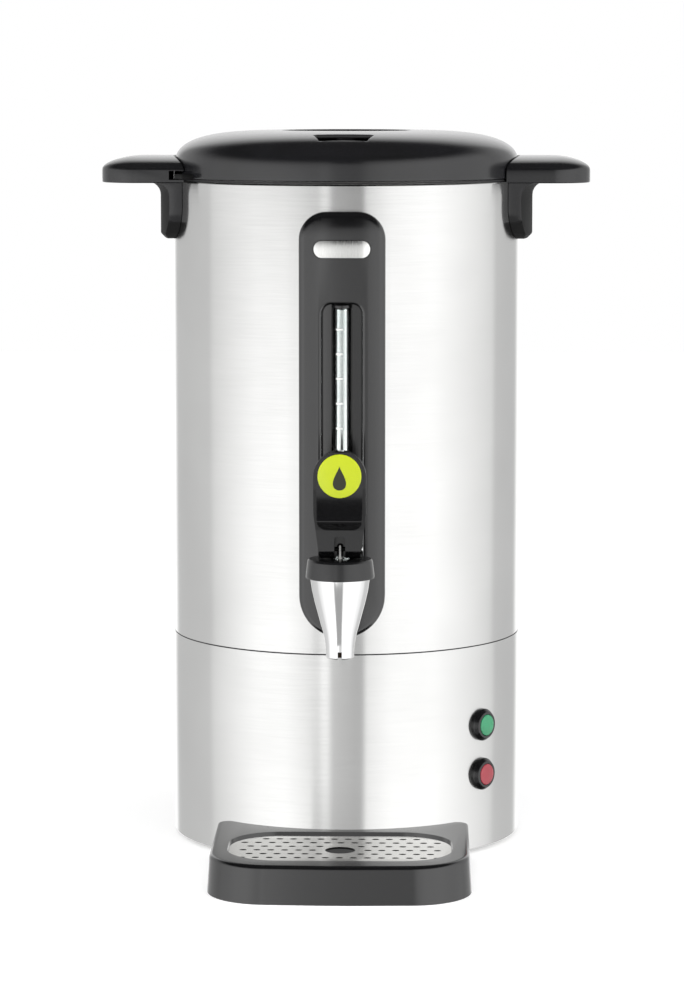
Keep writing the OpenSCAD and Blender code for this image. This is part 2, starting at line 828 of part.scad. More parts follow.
module gauge_fitting() {
    color("#2b2b2b") at_axis() difference() {
        union() {
            translate([0, 0, shank_z]) forward() translate([0, 0, gasket_y + fit])
                cylinder(h = fitting_y - gasket_y - fit, r = fitting_r);
            translate([0, -glass_y, shank_z]) cylinder(h = socket_top - shank_z, r = neck_r);
            translate([0, -glass_y, socket_low]) cylinder(h = socket_top - socket_low, r = glass_r + 2);
        }
        cylinder(h = rim_z, r = tank_r + recess_floor + fit);
        translate([0, 0, shank_z]) forward() cylinder(h = reach, r = thread_d / 2 + run);
        translate([0, -glass_y, glass_low]) cylinder(h = glass_top, r = glass_r + run);
        translate([0, -glass_y, shank_z]) cylinder(h = socket_top - shank_z, r = shank_bore / 3);
    }
}

module tap_gaskets() {
    inner_face = sqrt(tank_in * tank_in - fitting_r * fitting_r) - 1;
    color("#2b2b2b") at_axis() difference() {
        union() {
            difference() {
                translate([0, 0, shank_z]) forward() translate([0, 0, tank_r - 2])
                    cylinder(h = gasket_t + 2, r = fitting_r);
                cylinder(h = rim_z, r = tank_r + fit);
            }
            intersection() {
                translate([0, 0, shank_z]) forward() translate([0, 0, inner_face])
                    cylinder(h = reach, r = fitting_r);
                cylinder(h = rim_z, r = tank_in - fit);
            }
        }
        translate([0, 0, shank_z]) forward() cylinder(h = reach, r = thread_d / 2 + run);
    }
}

module tap_nut() {
    inner_face = sqrt(tank_in * tank_in - fitting_r * fitting_r) - 1;
    color("silver") at_axis() translate([0, 0, shank_z]) forward() translate([0, 0, inner_face - fit - 6])
        hex_nut(fitting_r - 0.5, thread_d / 2 + run, 6);
}

module tap_body() {
    nut_end = sqrt(tank_in * tank_in - fitting_r * fitting_r) - 10;
    color("silver") at_axis() difference() {
        union() {
            translate([0, -tap_reach, mouth_z]) cylinder(h = mouth_h, r1 = mouth_d / 2, r2 = mouth_d / 2 + 0.6);
            translate([0, -tap_reach, mouth_z + mouth_h])
                cylinder(h = cone_h - mouth_h, r1 = mouth_d / 2 + 0.6, r2 = cone_d / 2);
            translate([0, 0, shank_z]) forward() translate([0, 0, nut_end])
                cylinder(h = panel_r + flange_t - nut_end, r = thread_d / 2);
            difference() {
                translate([0, 0, shank_z]) forward() {
                    translate([0, 0, panel_r - 3]) cylinder(h = 3 + flange_t, r = flange_d / 2);
                    translate([0, 0, panel_r]) cylinder(h = tap_reach - panel_r, r = shank_d / 2);
                }
                cylinder(h = rim_z, r = panel_r + fit);
            }
        }
        translate([0, -tap_reach, seat_z]) cylinder(h = cone_h, r = chamber_d / 2);
        translate([0, -tap_reach, mouth_z - 1]) cylinder(h = cone_h, r = spout_bore / 2);
        translate([0, 0, shank_z]) forward() translate([0, 0, nut_end - 1])
            cylinder(h = tap_reach - nut_end, r = shank_bore / 2);
        translate([0, -glass_y, shank_z]) cylinder(h = thread_d, r = shank_bore / 3);
        translate([-1.1, -tap_reach - mouth_d, mouth_z - 1]) cube([2.2, mouth_d, 5.5]);
    }
}

module tap_bonnet() {
    edge = 1.2;
    color("#2b2b2b") at_axis() translate([0, -tap_reach, 0]) difference() {
        union() {
            translate([0, 0, cone_top]) cylinder(h = bonnet_h - edge, r1 = bonnet_d / 2,
                r2 = bonnet_d / 2 - bonnet_taper);
            translate([0, 0, bonnet_top - edge]) cylinder(h = edge, r1 = bonnet_d / 2 - bonnet_taper,
                r2 = bonnet_d / 2 - bonnet_taper - edge);
            translate([0, 0, cone_top - neck_h]) cylinder(h = neck_h + 1, r = chamber_d / 2 - run);
        }
        translate([0, 0, cone_top - neck_h - 1]) cylinder(h = bonnet_h + neck_h + 2, r = stem_r + run);
        translate([0, 0, cone_top - neck_h - 1])
            cylinder(h = spring_high - cone_top + neck_h + 1, r = (coil_d + wire_d) / 2 + gap);
    }
}

// The spring is one tube swept along a helix, eight rings to a turn and six sides to a ring
coil_step = 45;
coil_rings = coil_turns * 360 / coil_step;
coil_low = spring_low + wire_d / 2 + 0.1;
coil_high = spring_high - wire_d / 2 - 0.1;
function coil_point(i) = [coil_d / 2 * cos(coil_step * i), coil_d / 2 * sin(coil_step * i),
    coil_low + (coil_high - coil_low) * i / coil_rings];
function coil_ring(i) = let (out = [cos(coil_step * i), sin(coil_step * i), 0])
    [for (k = [0:5]) coil_point(i) + wire_d / 2 * (cos(60 * k) * out + [0, 0, sin(60 * k)])];
coil_gaps = [for (i = [0:coil_rings], j = [i + 5:1:coil_rings]) norm(coil_point(i) - coil_point(j)) - wire_d];
echo(least_spring_gap = min(coil_gaps));

module tap_spring() {
    last = coil_rings * 6;
    sides = [for (i = [0:coil_rings - 1], k = [0:5]) let (a = i * 6 + k, b = i * 6 + (k + 1) % 6)
        each [[a, b, b + 6], [a, b + 6, a + 6]]];
    ends = [for (k = [1:4]) each [[0, k + 1, k], [last, last + k, last + k + 1]]];
    color("silver") at_axis() translate([0, -tap_reach, 0])
        polyhedron([for (i = [0:coil_rings]) each coil_ring(i)], concat(sides, ends));
}

module tap_stem() {
    stem_low = seat_z + gap + 2;
    stem_top = pin_z + pin_r + 1.4;
    color("silver") at_axis() translate([0, -tap_reach, 0]) difference() {
        translate([0, 0, stem_low]) cylinder(h = stem_top - stem_low, r = stem_r);
        translate([-stem_d, 0, pin_z]) rotate([0, 90, 0]) cylinder(h = 2 * stem_d, r = pin_r + run);
    }
}

module valve_cup() {
    color("#5a4a44") at_axis() translate([0, -tap_reach, seat_z + gap]) difference() {
        union() {
            cylinder(h = cup_h, r = cup_d / 2);
            translate([0, 0, -2]) cylinder(h = 2, r1 = spout_bore / 2 - 1.5, r2 = spout_bore / 2 - gap);
        }
        translate([0, 0, 2 - run]) cylinder(h = cup_h, r = stem_r + run);
    }
}

// Side profile of the lever about its pin, front towards -Y, with the cam under its heel
module lever_profile() {
    face = lever_front - lever_rim_h;
    cam = [for (i = [0:10]) let (t = tilt_max * i / 10, h = heel + lift_rate * t * PI / 180)
        [-h * sin(t) - lift_rate * cos(t), -h * cos(t) + lift_rate * sin(t)]];
    stop_z = (face * sin(tilt_max) - heel - tap_lift) / cos(tilt_max);
    back = lever_front - lever_t;
    polygon(concat([[6.5, -heel]], cam, [[-face, stop_z], [-face, ledge_h], [-lever_front, ledge_h + 1],
        [-lever_front, lever_h], [-back, lever_h], [-back, ledge_h + 4], [6.5, 7]]));
}

module lever_outline(inset) {
    arch = lever_w / 2;
    foot = lever_foot_w / 2;
    translate([0, lever_h - arch]) circle(r = arch - inset);
    polygon([[inset - arch, lever_h - arch], [inset - arch, ledge_h], [inset - foot, -pin_lift],
        [foot - inset, -pin_lift], [arch - inset, ledge_h], [arch - inset, lever_h - arch]]);
}

module lever() {
    face = lever_front - lever_rim_h;
    scoop_r = 24;
    color("#333333") at_axis() translate([0, -tap_reach, pin_z]) difference() {
        intersection() {
            across() linear_extrude(lever_w, center = true) lever_profile();
            forward() linear_extrude(2 * lever_w, center = true) lever_outline(0);
        }
        intersection() {
            translate([0, 0, ledge_h + 1]) forward() translate([0, 0, face])
                linear_extrude(lever_w) translate([0, -ledge_h - 1]) lever_outline(lever_rim);
            translate([-lever_w, -lever_w, ledge_h + 2]) cube([2 * lever_w, 2 * lever_w, lever_h]);
        }
        intersection() {
            translate([0, scoop_t - face - scoop_r, -heel - 1]) cylinder(h = ledge_h + heel + 1, r = scoop_r);
            across() linear_extrude(lever_w, center = true) polygon([[-face - 9, ledge_h], [-face, ledge_h],
                [scoop_t - face, ledge_h - 6], [scoop_t - face, -heel - 1], [-face - 9, -heel - 1]]);
        }
        forward() linear_extrude(2 * lever_w, center = true) {
            translate([0, 3.5]) circle(d = slot_w);
            translate([-slot_w / 2, -pin_lift - 1]) square([slot_w, pin_lift + 4.5]);
        }
        translate([-lever_w, 0, 0]) rotate([0, 90, 0]) cylinder(h = 2 * lever_w, r = pin_r + run);
        translate([0, 0, disc_h]) forward() translate([0, 0, face - 0.6])
            cylinder(h = lever_t, r = disc_d / 2 + fit);
    }
}

module lever_pin() {
    pin_l = lever_foot_w - 0.4;
    color("silver") at_axis() translate([-pin_l / 2, -tap_reach, pin_z]) rotate([0, 90, 0])
        cylinder(h = pin_l, r = pin_r);
}

module lever_badge() {
    face = lever_front - lever_rim_h;
    color("#d3e02b") at_axis() translate([0, -tap_reach, pin_z + disc_h]) forward()
        translate([0, 0, face - 0.6]) cylinder(h = disc_t, r = disc_d / 2);
}

module lid_cover() {
    vent_back = vent_reach - vent_l / 2;
    post_z = pocket_floor - 1;
    color("#333333") at_axis() difference() {
        union() {
            rotate_extrude() polygon(concat(
                [[lid_r, skirt_z]], dome(lid_r, pocket_r, skirt_top, dome_h, 16),
                [[pocket_r, pocket_floor], [0, pocket_floor], [0, pocket_floor - lid_wall],
                    [pocket_r + lid_wall, pocket_floor - lid_wall]],
                [for (i = [16:-1:0]) dome(lid_r - lid_wall, pocket_r + lid_wall, skirt_top,
                    dome_h - lid_wall, 16)[i]],
                [[lid_r - lid_wall, skirt_z]]));
            intersection() {
                translate([-pocket_r - 1, -bar_w / 2, pocket_floor - 1])
                    cube([2 * pocket_r + 2, bar_w, pocket_h + 1 - bar_drop]);
                cylinder(h = lid_top, r = pocket_r + 1);
            }
            for (a = [0, 180]) rotate(a + tab_start) translate([0, 0, tab_z])
                rotate_extrude(angle = tab_span) translate([lid_r - 1.5, 0]) square([tab_out + 1.5, tab_t]);
            for (a = [30, 150, 270]) rotate(a) translate([lid_post_ring, 0, liner_z + liner_t + fit])
                cylinder(h = lid_top - lid_wall + 0.4 - liner_z - liner_t - fit, r = 5);
        }
        translate([0, -vent_back - vent_l, skirt_top + dome_rise(vent_back) - vent_deep])
            linear_extrude(dome_h) polygon([[-vent_w * 0.38, 0], [vent_w * 0.38, 0],
                [vent_w / 2, vent_l], [-vent_w / 2, vent_l]]);
        for (a = [30, 150, 270]) rotate(a) translate([lid_post_ring, 0, liner_z])
            cylinder(h = post_z - liner_z, r = 1.5 + run);
    }
}

module lid_liner() {
    color("gainsboro") at_axis() difference() {
        union() {
            translate([0, 0, liner_z]) cylinder(h = liner_t, r = lid_r - lid_wall - fit);
            ring(plug_r, plug_r - liner_t, rim_z - plug_h, liner_z - rim_z + plug_h + 0.5);
        }
        for (a = [30, 150, 270]) rotate(a) translate([lid_post_ring, 0, liner_z - 1])
            cylinder(h = liner_t + 2, r = 1.5 + fit);
        translate([-vent_slot_w / 2, -vent_reach - vent_slot_l / 2, liner_z - 1])
            cube([vent_slot_w, vent_slot_l, liner_t + 2]);
    }
}

module lid_seal() {
    color("#4a4a4a") at_axis() ring(lid_r - 0.8, rim_in + 0.2, seal_z, seal_t);
}

module lid_screws() {
    color("silver") at_axis() for (a = [30, 150, 270]) rotate(a) translate([lid_post_ring, 0, liner_z]) {
        translate([0, 0, -2]) cylinder(h = 2, r = 3.2);
        translate([0, 0, -1]) cylinder(h = lid_screw_l, r = 1.5);
    }
}

module riser() {
    color("gainsboro") at_axis() difference() {
        union() {
            translate([0, 0, riser_low]) cylinder(h = bell_h, r1 = bell_d / 2, r2 = riser_d / 2 + 4);
            translate([0, 0, riser_low]) cylinder(h = riser_top - riser_low, r = riser_d / 2);
            translate([0, 0, basket_low - gap - 4]) cylinder(h = 4, r = riser_d / 2 + 4);
        }
        translate([0, 0, riser_low - 1]) cylinder(h = riser_top - riser_low + 2, r = riser_d / 2 - riser_wall);
        translate([0, 0, riser_low - 1]) cylinder(h = bell_h - 1, r1 = bell_d / 2 - 1, r2 = riser_d / 2 + 1);
        for (a = [0:60:300]) rotate(a) translate([bell_d / 4, 0, riser_low - 1])
            cylinder(h = bell_h, r = 2.5);
    }
}

module coffee_basket() {
    hub_r = riser_d / 2 + gap + basket_wall;
    color("gainsboro") at_axis() difference() {
        union() {
            ring(basket_r, basket_r - basket_wall, basket_low, basket_h);
            translate([0, 0, basket_low]) cylinder(h = basket_wall, r = basket_r);
            translate([0, 0, basket_low]) cylinder(h = basket_h - 4, r = hub_r);
        }
        translate([0, 0, basket_low - 1]) cylinder(h = basket_h + 2, r = riser_d / 2 + gap);
        for (k = [1:4], a = [0:360 / (8 * k):359]) rotate(a + 9 * k)
            translate([hub_r + (basket_r - hub_r) * k / 5, 0, basket_low - 1]) cylinder(h = 3, r = 1.6);
    }
}

module spreader() {
    spread_r = basket_r - basket_wall - 1;
    color("gainsboro") at_axis() difference() {
        union() {
            translate([0, 0, spread_z]) cylinder(h = basket_wall, r = basket_r);
            ring(spread_r, spread_r - basket_wall, spread_z - 5, 5.5);
        }
        translate([0, 0, spread_z - 6]) cylinder(h = 12, r = riser_d / 2 + gap);
        for (k = [1:4], a = [0:360 / (6 * k):359]) rotate(a + 11 * k)
            translate([riser_d + (spread_r - riser_d) * k / 5, 0, spread_z - 1]) cylinder(h = 4, r = 1.4);
    }
}

// Block of the tray: tapered sides and front, with a cone at each front corner
module tray_block() {
    side = tray_w / 2;
    corner_y = tray_reach - tray_corner;
    for (s = [-1, 1]) translate([s * (side - tray_corner), -corner_y, 0])
        cylinder(h = tray_h, r1 = tray_corner, r2 = tray_corner - tray_draft);
    across() linear_extrude(2 * (side - tray_corner), center = true) polygon([[-tray_reach, 0], [0, 0],
        [0, tray_h], [tray_draft - tray_reach, tray_h]]);
    forward() linear_extrude(corner_y) polygon([[-side, 0], [side, 0],
        [side - tray_draft, tray_h], [tray_draft - side, tray_h]]);
}

module drip_tray() {
    color("#3f3f3f") at_axis() difference() {
        tray_block();
        translate([0, 0, -1]) cylinder(h = tray_h + 2, r = base_r + tray_gap);
        translate([0, -grid_reach, tray_floor]) linear_extrude(tray_h)
            flat_outline(grid_w - 2 * ledge_w, grid_l - 2 * ledge_w, grid_corner - ledge_w);
        translate([0, -grid_reach, grid_low - gap]) linear_extrude(tray_h)
            flat_outline(grid_w + 2 * gap, grid_l + 2 * gap, grid_corner + gap);
    }
}

module drip_grid() {
    pitch = (grid_w - hole_margin) / hole_columns;
    rows = floor((grid_l - hole_margin) / (2 * pitch));
    color("gainsboro") at_axis() translate([0, -grid_reach, grid_low]) difference() {
        linear_extrude(grid_t) flat_outline(grid_w, grid_l, grid_corner);
        translate([0, 0, -1]) cylinder(h = grid_t + 2, d = drain_d);
        for (i = [0:hole_columns - 1], j = [0:rows]) {
            x = (i - (hole_columns - 1) / 2) * pitch;
            y = (j - rows / 2) * 2 * pitch + (i % 2 - 0.5) * pitch;
            corner = [max(0, abs(x) - grid_w / 2 + grid_corner), max(0, abs(y) - grid_l / 2 + grid_corner)];
            if (norm([x, y]) > drain_d / 2 + hole_d && norm(corner) < grid_corner - hole_d)
                translate([x, y, -1]) cylinder(h = grid_t + 2, d = hole_d, $fn = 24);
        }
    }
}

tank();
joint_ring();
base_shell();
bottom_plate();
feet();
tie_studs();
tie_nuts();
heating_plate();
heating_tube();
pump_heater();
thermostats();
terminal_block();
power_inlet();
inlet_pins();
inlet_screws();
green_bezel();
red_bezel();
green_lens();
red_lens();
lamp_nuts();
handle_left();
handle_right();
handle_screws();
front_panel();
badge_plate();
sight_glass();
gauge_cap();
gauge_fitting();
tap_gaskets();
tap_nut();
tap_body();
tap_bonnet();
tap_spring();
tap_stem();
valve_cup();
lever();
lever_pin();
lever_badge();
lid_cover();
lid_liner();
lid_seal();
lid_screws();
riser();
coffee_basket();
spreader();
drip_tray();
drip_grid();
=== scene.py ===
"""Looks of the coffee urn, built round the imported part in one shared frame."""
import logging
import math
from collections.abc import Callable, Iterable, Sequence
from dataclasses import dataclass
from enum import Enum
from typing import ClassVar

import bmesh
import bpy
from mathutils import Matrix, Vector
from mathutils.geometry import intersect_point_line


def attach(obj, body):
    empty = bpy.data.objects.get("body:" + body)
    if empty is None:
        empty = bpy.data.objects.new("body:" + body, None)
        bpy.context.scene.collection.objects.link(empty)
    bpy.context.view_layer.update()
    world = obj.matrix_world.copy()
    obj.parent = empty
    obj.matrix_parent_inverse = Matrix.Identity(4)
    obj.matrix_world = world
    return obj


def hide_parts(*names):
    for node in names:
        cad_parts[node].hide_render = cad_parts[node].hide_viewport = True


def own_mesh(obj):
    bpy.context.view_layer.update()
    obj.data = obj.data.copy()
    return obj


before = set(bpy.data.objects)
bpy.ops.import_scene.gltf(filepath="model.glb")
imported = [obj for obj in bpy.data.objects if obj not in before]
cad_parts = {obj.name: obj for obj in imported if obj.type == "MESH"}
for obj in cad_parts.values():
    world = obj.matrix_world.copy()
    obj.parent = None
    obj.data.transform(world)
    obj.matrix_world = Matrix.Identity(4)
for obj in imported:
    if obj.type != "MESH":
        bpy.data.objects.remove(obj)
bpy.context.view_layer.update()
LOG = logging.getLogger("coffee_urn")
MM = 0.001
# How far the tank's upright axis stands behind the frame's origin, in mm.
AXIS_Y = 52.5
# A point this close to a plane or a line, in mm, counts as lying on it.
TOUCH = 0.01
# Edges blunter than this, in degrees, are shaded smooth where a piece asks for nothing else.
BLUNT = 35.0
WHITE = (1, 1, 1, 1)

Piece = bpy.types.Object
Face = bpy.types.MeshPolygon
Node = bpy.types.Node
Socket = bpy.types.NodeSocket
Tree = bpy.types.NodeTree
Span = tuple[float, float]
Triple = tuple[float, float, float]
# A corner of an outline: its place and its radius.
Corner = Triple
Outline = list[Span]


# Finishes


def linear(hex_colour: str) -> tuple[float, float, float, float]:
    """Turns an sRGB hex colour into linear RGBA."""
    parts = [int(hex_colour[i:i + 2], 16) / 255 for i in (1, 3, 5)]
    return (*[c / 12.92 if c <= 0.04045 else ((c + 0.055) / 1.055) ** 2.4 for c in parts], 1.0)


def add_node(tree: Tree, kind: str, inputs: dict, **settings) -> Node:
    """Adds a node, sets it up and links it.

    Args:
        tree: The node tree that gets the node.
        kind: Blender's name of the node type.
        inputs: Socket name or number, with a value or another node's output.
        settings: The node's own properties.

    Returns:
        The new node.
    """
    node = tree.nodes.new(kind)
    for key, value in settings.items():
        setattr(node, key, value)
    for key, value in inputs.items():
        if isinstance(value, Socket):
            tree.links.new(value, node.inputs[key])
        else:
            node.inputs[key].default_value = value
    return node


class Brush(Enum):
    """Direction of the lines in a metal, as the pattern's fineness along x, y and z."""

    LEVEL = (1, 1, 60)
    UPRIGHT = (60, 60, 1)
    ACROSS = (1, 60, 60)
    NONE = (12, 12, 12)


@dataclass(frozen=True)
class Finish:
    """A surface: its name, two close colours that it varies between, and its roughness."""

    # Noise values where the two colours are reached, and where the roughness ends its swing.
    CLOUD_ENDS: ClassVar[Span] = (0.35, 0.65)
    RELIEF_ENDS: ClassVar[Span] = (0.3, 0.7)

    name: str
    colour: str
    shade: str
    roughness: float

    def material(self) -> bpy.types.Material:
        """Builds the finish's material at the first call, and finds it again after that.

        Returns:
            The material.
        """
        found = bpy.data.materials.get(self.name)
        if found:
            return found
        made = bpy.data.materials.new(self.name)
        made.use_nodes = True
        tree = made.node_tree
        place = add_node(tree, "ShaderNodeTexCoord", {}).outputs["Object"]
        self.surface(tree, tree.nodes["Principled BSDF"], place)
        return made

    def surface(self, tree: Tree, shader: Node, place: Socket) -> None:
        """Wires the finish into the shader.

        Args:
            tree: The material's node tree.
            shader: Its Principled shader.
            place: Object coordinates, in metres.
        """
        raise NotImplementedError

    def cloud(self, tree: Tree, shader: Node, place: Socket, size: float) -> None:
        """Varies the base colour between the two colours in soft clouds.

        Args:
            tree: The material's node tree.
            shader: Its Principled shader.
            place: Object coordinates, in metres.
            size: Size of a cloud in mm.
        """
        noise = add_node(tree, "ShaderNodeTexNoise", {
            "Vector": place, "Scale": 1 / (size * MM), "Detail": 2.0})
        ramp = add_node(tree, "ShaderNodeValToRGB", {"Fac": noise.outputs["Fac"]})
        for stop, end, colour in zip(ramp.color_ramp.elements, self.CLOUD_ENDS, (self.shade, self.colour)):
            stop.position, stop.color = end, linear(colour)
        tree.links.new(ramp.outputs["Color"], shader.inputs["Base Color"])

    def relief(self, tree: Tree, shader: Node, height: Socket, spread: float, depth: float,
               strength: float) -> None:
        """Drives roughness and bump from one pattern.

        Args:
            tree: The material's node tree.
            shader: Its Principled shader.
            height: The pattern, from 0 to 1.
            spread: How far the roughness swings about its middle.
            depth: Height of the relief in mm.
            strength: Strength of the bump.
        """
        rough = add_node(tree, "ShaderNodeMapRange", {
            "Value": height, "From Min": self.RELIEF_ENDS[0], "From Max": self.RELIEF_ENDS[1],
            "To Min": self.roughness - spread, "To Max": self.roughness + spread})
        bump = add_node(tree, "ShaderNodeBump", {
            "Height": height, "Strength": strength, "Distance": depth * MM})
        tree.links.new(rough.outputs["Result"], shader.inputs["Roughness"])
        tree.links.new(bump.outputs["Normal"], shader.inputs["Normal"])


@dataclass(frozen=True)
class Metal(Finish):
    """A bare metal, with lines from a belt or a plain polish; lengths in mm."""

    CLOUD: ClassVar[float] = 70.0
    STRENGTH: ClassVar[float] = 0.25
    QUARTER_TURN: ClassVar[float] = 0.25

    brush: Brush = Brush.NONE
    line: float = 0.5
    depth: float = 0.004
    spread: float = 0.05
    smear: float = 0.0

    def surface(self, tree: Tree, shader: Node, place: Socket) -> None:
        """Wires streaks that are sixty times as long as they are wide into roughness and bump.

        Args:
            tree: The material's node tree.
            shader: Its Principled shader.
            place: Object coordinates, in metres.
        """
        shader.inputs["Metallic"].default_value = 1.0
        if self.smear:
            # Level lines round an upright axis: the tangent is turned a quarter, so that reflections smear
            # upwards.
            around = add_node(tree, "ShaderNodeTangent", {}, direction_type="RADIAL", axis="Z")
            shader.inputs["Anisotropic"].default_value = self.smear
            shader.inputs["Anisotropic Rotation"].default_value = self.QUARTER_TURN
            tree.links.new(around.outputs["Tangent"], shader.inputs["Tangent"])
        self.cloud(tree, shader, place, self.CLOUD)
        finest = max(self.brush.value)
        stretched = add_node(tree, "ShaderNodeMapping", {
            "Vector": place, "Scale": [s / finest / (self.line * MM) for s in self.brush.value]})
        streaks = add_node(tree, "ShaderNodeTexNoise", {
            "Vector": stretched.outputs["Vector"], "Scale": 1.0, "Detail": 3.0})
        self.relief(tree, shader, streaks.outputs["Fac"], self.spread, self.depth, self.STRENGTH)


@dataclass(frozen=True)
class Moulding(Finish):
    """A moulded plastic or rubber with the fine grain of its spark-eroded mould; lengths in mm."""

    CLOUD: ClassVar[float] = 40.0
    STRENGTH: ClassVar[float] = 0.3

    grain: float = 0.5
    depth: float = 0.02
    spread: float = 0.05
    ior: float = 1.52

    def surface(self, tree: Tree, shader: Node, place: Socket) -> None:
        """Wires the grain into roughness and bump.

        Args:
            tree: The material's node tree.
            shader: Its Principled shader.
            place: Object coordinates, in metres.
        """
        shader.inputs["IOR"].default_value = self.ior
        self.cloud(tree, shader, place, self.CLOUD)
        grain = add_node(tree, "ShaderNodeTexNoise", {
            "Vector": place, "Scale": 1 / (self.grain * MM), "Detail": 2.0})
        self.relief(tree, shader, grain.outputs["Fac"], self.spread, self.depth, self.STRENGTH)


@dataclass(frozen=True)
class Clear(Finish):
    """A see-through glass or tinted plastic; lengths in mm."""

    CLOUD: ClassVar[float] = 25.0
    STRENGTH: ClassVar[float] = 0.1
    DEPTH: ClassVar[float] = 0.01
    SPREAD: ClassVar[float] = 0.02

    ior: float = 1.5
    clearness: float = 1.0
    ripple: float = 3.0

    def surface(self, tree: Tree, shader: Node, place: Socket) -> None:
        """Wires slow ripples from drawing or moulding into roughness and bump.

        Args:
            tree: The material's node tree.
            shader: Its Principled shader.
            place: Object coordinates, in metres.
        """
        shader.inputs["IOR"].default_value = self.ior
        shader.inputs["Transmission Weight"].default_value = self.clearness
        self.cloud(tree, shader, place, self.CLOUD)
        ripple = add_node(tree, "ShaderNodeTexNoise", {
            "Vector": place, "Scale": 1 / (self.ripple * MM), "Detail": 1.0})
        self.relief(tree, shader, ripple.outputs["Fac"], self.SPREAD, self.DEPTH, self.STRENGTH)


# Stainless sheet, belt ground along the roll: level hairlines that smear reflections upwards. The lines are a
# tenth of a millimetre apart in truth, and are drawn coarser so that they show.
BRUSHED_STEEL = Metal(
    "stainless_sheet_belt_ground", "#d0d0cf", "#cbcbca", roughness=0.2,
    brush=Brush.LEVEL, line=0.5, depth=0.0008, spread=0.03, smear=0.95)
# The grid's sheet, with lines from side to side.
GRID_STEEL = Metal(
    "stainless_grid_belt_ground", "#dad9d6", "#d2d1ce", roughness=0.16,
    brush=Brush.ACROSS, line=0.5, depth=0.002, spread=0.04)
# Deep-drawn sheet of the loose inner pieces: duller, with level drawing lines.
INNER_STEEL = Metal(
    "stainless_deep_drawn", "#c6c5c2", "#b9b8b5", roughness=0.33,
    brush=Brush.LEVEL, line=0.8, depth=0.004, spread=0.06)
# The tank's inside after pickling: pale, matt and cloudy.
PICKLED_STEEL = Metal(
    "stainless_pickled", "#c9c9c6", "#bababa", roughness=0.6,
    brush=Brush.NONE, line=1.5, depth=0.01, spread=0.08)
# The lever's pin: hardened steel, near black as painted shade in the lever's slot.
DARK_STEEL = Metal(
    "steel_phosphated", "#262626", "#1f1f1f", roughness=0.5,
    brush=Brush.NONE, line=0.6, depth=0.006, spread=0.08)
# Walls of the grid's holes: dull, and near black as painted shade.
PUNCHED_EDGE = Metal(
    "stainless_punched_edge", "#1c1c1c", "#161616", roughness=0.6,
    brush=Brush.NONE, line=0.6, depth=0.01, spread=0.08)
# Turned stainless bar, as it leaves the lathe: the stem.
TURNED_STEEL = Metal(
    "stainless_turned", "#b4b4b2", "#a8a8a6", roughness=0.3,
    brush=Brush.LEVEL, line=0.3, depth=0.002, spread=0.05)
# Chromium over buffed brass: a near mirror with faint buffing haze.
CHROME = Metal(
    "chromium_plate_buffed", "#e6e6e6", "#dcdcdc", roughness=0.11,
    brush=Brush.NONE, line=2.0, depth=0.001, spread=0.02)
# Cast brass inside the spout, where no plating reaches: darkened as painted shade, and rough.
BORE_BRASS = Metal(
    "brass_bore_tarnished", "#3a3129", "#2b2520", roughness=0.55,
    brush=Brush.NONE, line=1.0, depth=0.01, spread=0.08)
# Rolled aluminium, ground upright and clear lacquered: the bare plate on the panel.
PLATE_ALUMINIUM = Metal(
    "aluminium_plate_ground", "#e2e2e0", "#d4d4d2", roughness=0.24,
    brush=Brush.UPRIGHT, line=0.4, depth=0.003, spread=0.05)
# Bright zinc on turned and pressed steel: slightly blue, with a fine mottle.
ZINC = Metal(
    "zinc_plated_steel", "#c3c6c9", "#aeb2b6", roughness=0.32,
    brush=Brush.NONE, line=1.2, depth=0.004, spread=0.08)
# Die-cast aluminium, as it leaves the mould: dull and mottled.
CAST_ALUMINIUM = Metal(
    "aluminium_die_cast", "#b9babb", "#a3a4a6", roughness=0.5,
    brush=Brush.NONE, line=1.5, depth=0.02, spread=0.08)
# Polypropylene in a finely spark-eroded mould: charcoal, satin, with an even grain.
PLASTIC = Moulding(
    "polypropylene_moulded_satin", "#18181a", "#151516", roughness=0.2,
    grain=0.6, depth=0.003, spread=0.03, ior=1.53)
# The same plastic in a brighter polished mould: the front panel.
GLOSS_PLASTIC = Moulding(
    "polypropylene_moulded_gloss", "#111112", "#0e0e0f", roughness=0.17,
    grain=0.6, depth=0.003, spread=0.03, ior=1.67)
# The same plastic in a mould that is a little less bright: the tray.
TRAY_PLASTIC = Moulding(
    "polypropylene_moulded_blasted", "#111112", "#0e0e0f", roughness=0.18,
    grain=0.6, depth=0.003, spread=0.03, ior=1.67)
# The same plastic where the mould is left rough, and darker as painted shade: the handles' legs, the lock
# slots, and the lid's pocket and tabs.
ROUGH_PLASTIC = Moulding(
    "polypropylene_moulded_rough", "#0b0b0b", "#090909", roughness=0.8,
    grain=0.6, depth=0.006, spread=0.04, ior=1.45)
# The same plastic in a smoother mould: the lever, bonnet and lamp rings.
SMOOTH_PLASTIC = Moulding(
    "polypropylene_moulded_smooth", "#131314", "#101011", roughness=0.22,
    grain=0.6, depth=0.003, spread=0.04, ior=1.55)
# Moulded rubber: dark, dull and slightly dusty.
RUBBER = Moulding(
    "nitrile_rubber_moulded", "#2a2a2b", "#222223", roughness=0.62,
    grain=0.9, depth=0.03, spread=0.06)
# Pressed silicone for food: black and matt.
SILICONE = Moulding(
    "silicone_moulded_black", "#242425", "#1d1d1e", roughness=0.55,
    grain=0.9, depth=0.02, spread=0.05)
# Steatite ceramic, pressed and fired: cream, with a faint speckle.
CERAMIC = Moulding(
    "steatite_fired", "#e2d9c4", "#d2c7ae", roughness=0.48,
    grain=0.7, depth=0.02, spread=0.06)
# Acrylic lacquer over a domed disc: lime, glossy.
LIME = Moulding(
    "acrylic_domed_lime", "#bdca1a", "#b5c316", roughness=0.2,
    grain=1.5, depth=0.004, spread=0.03)
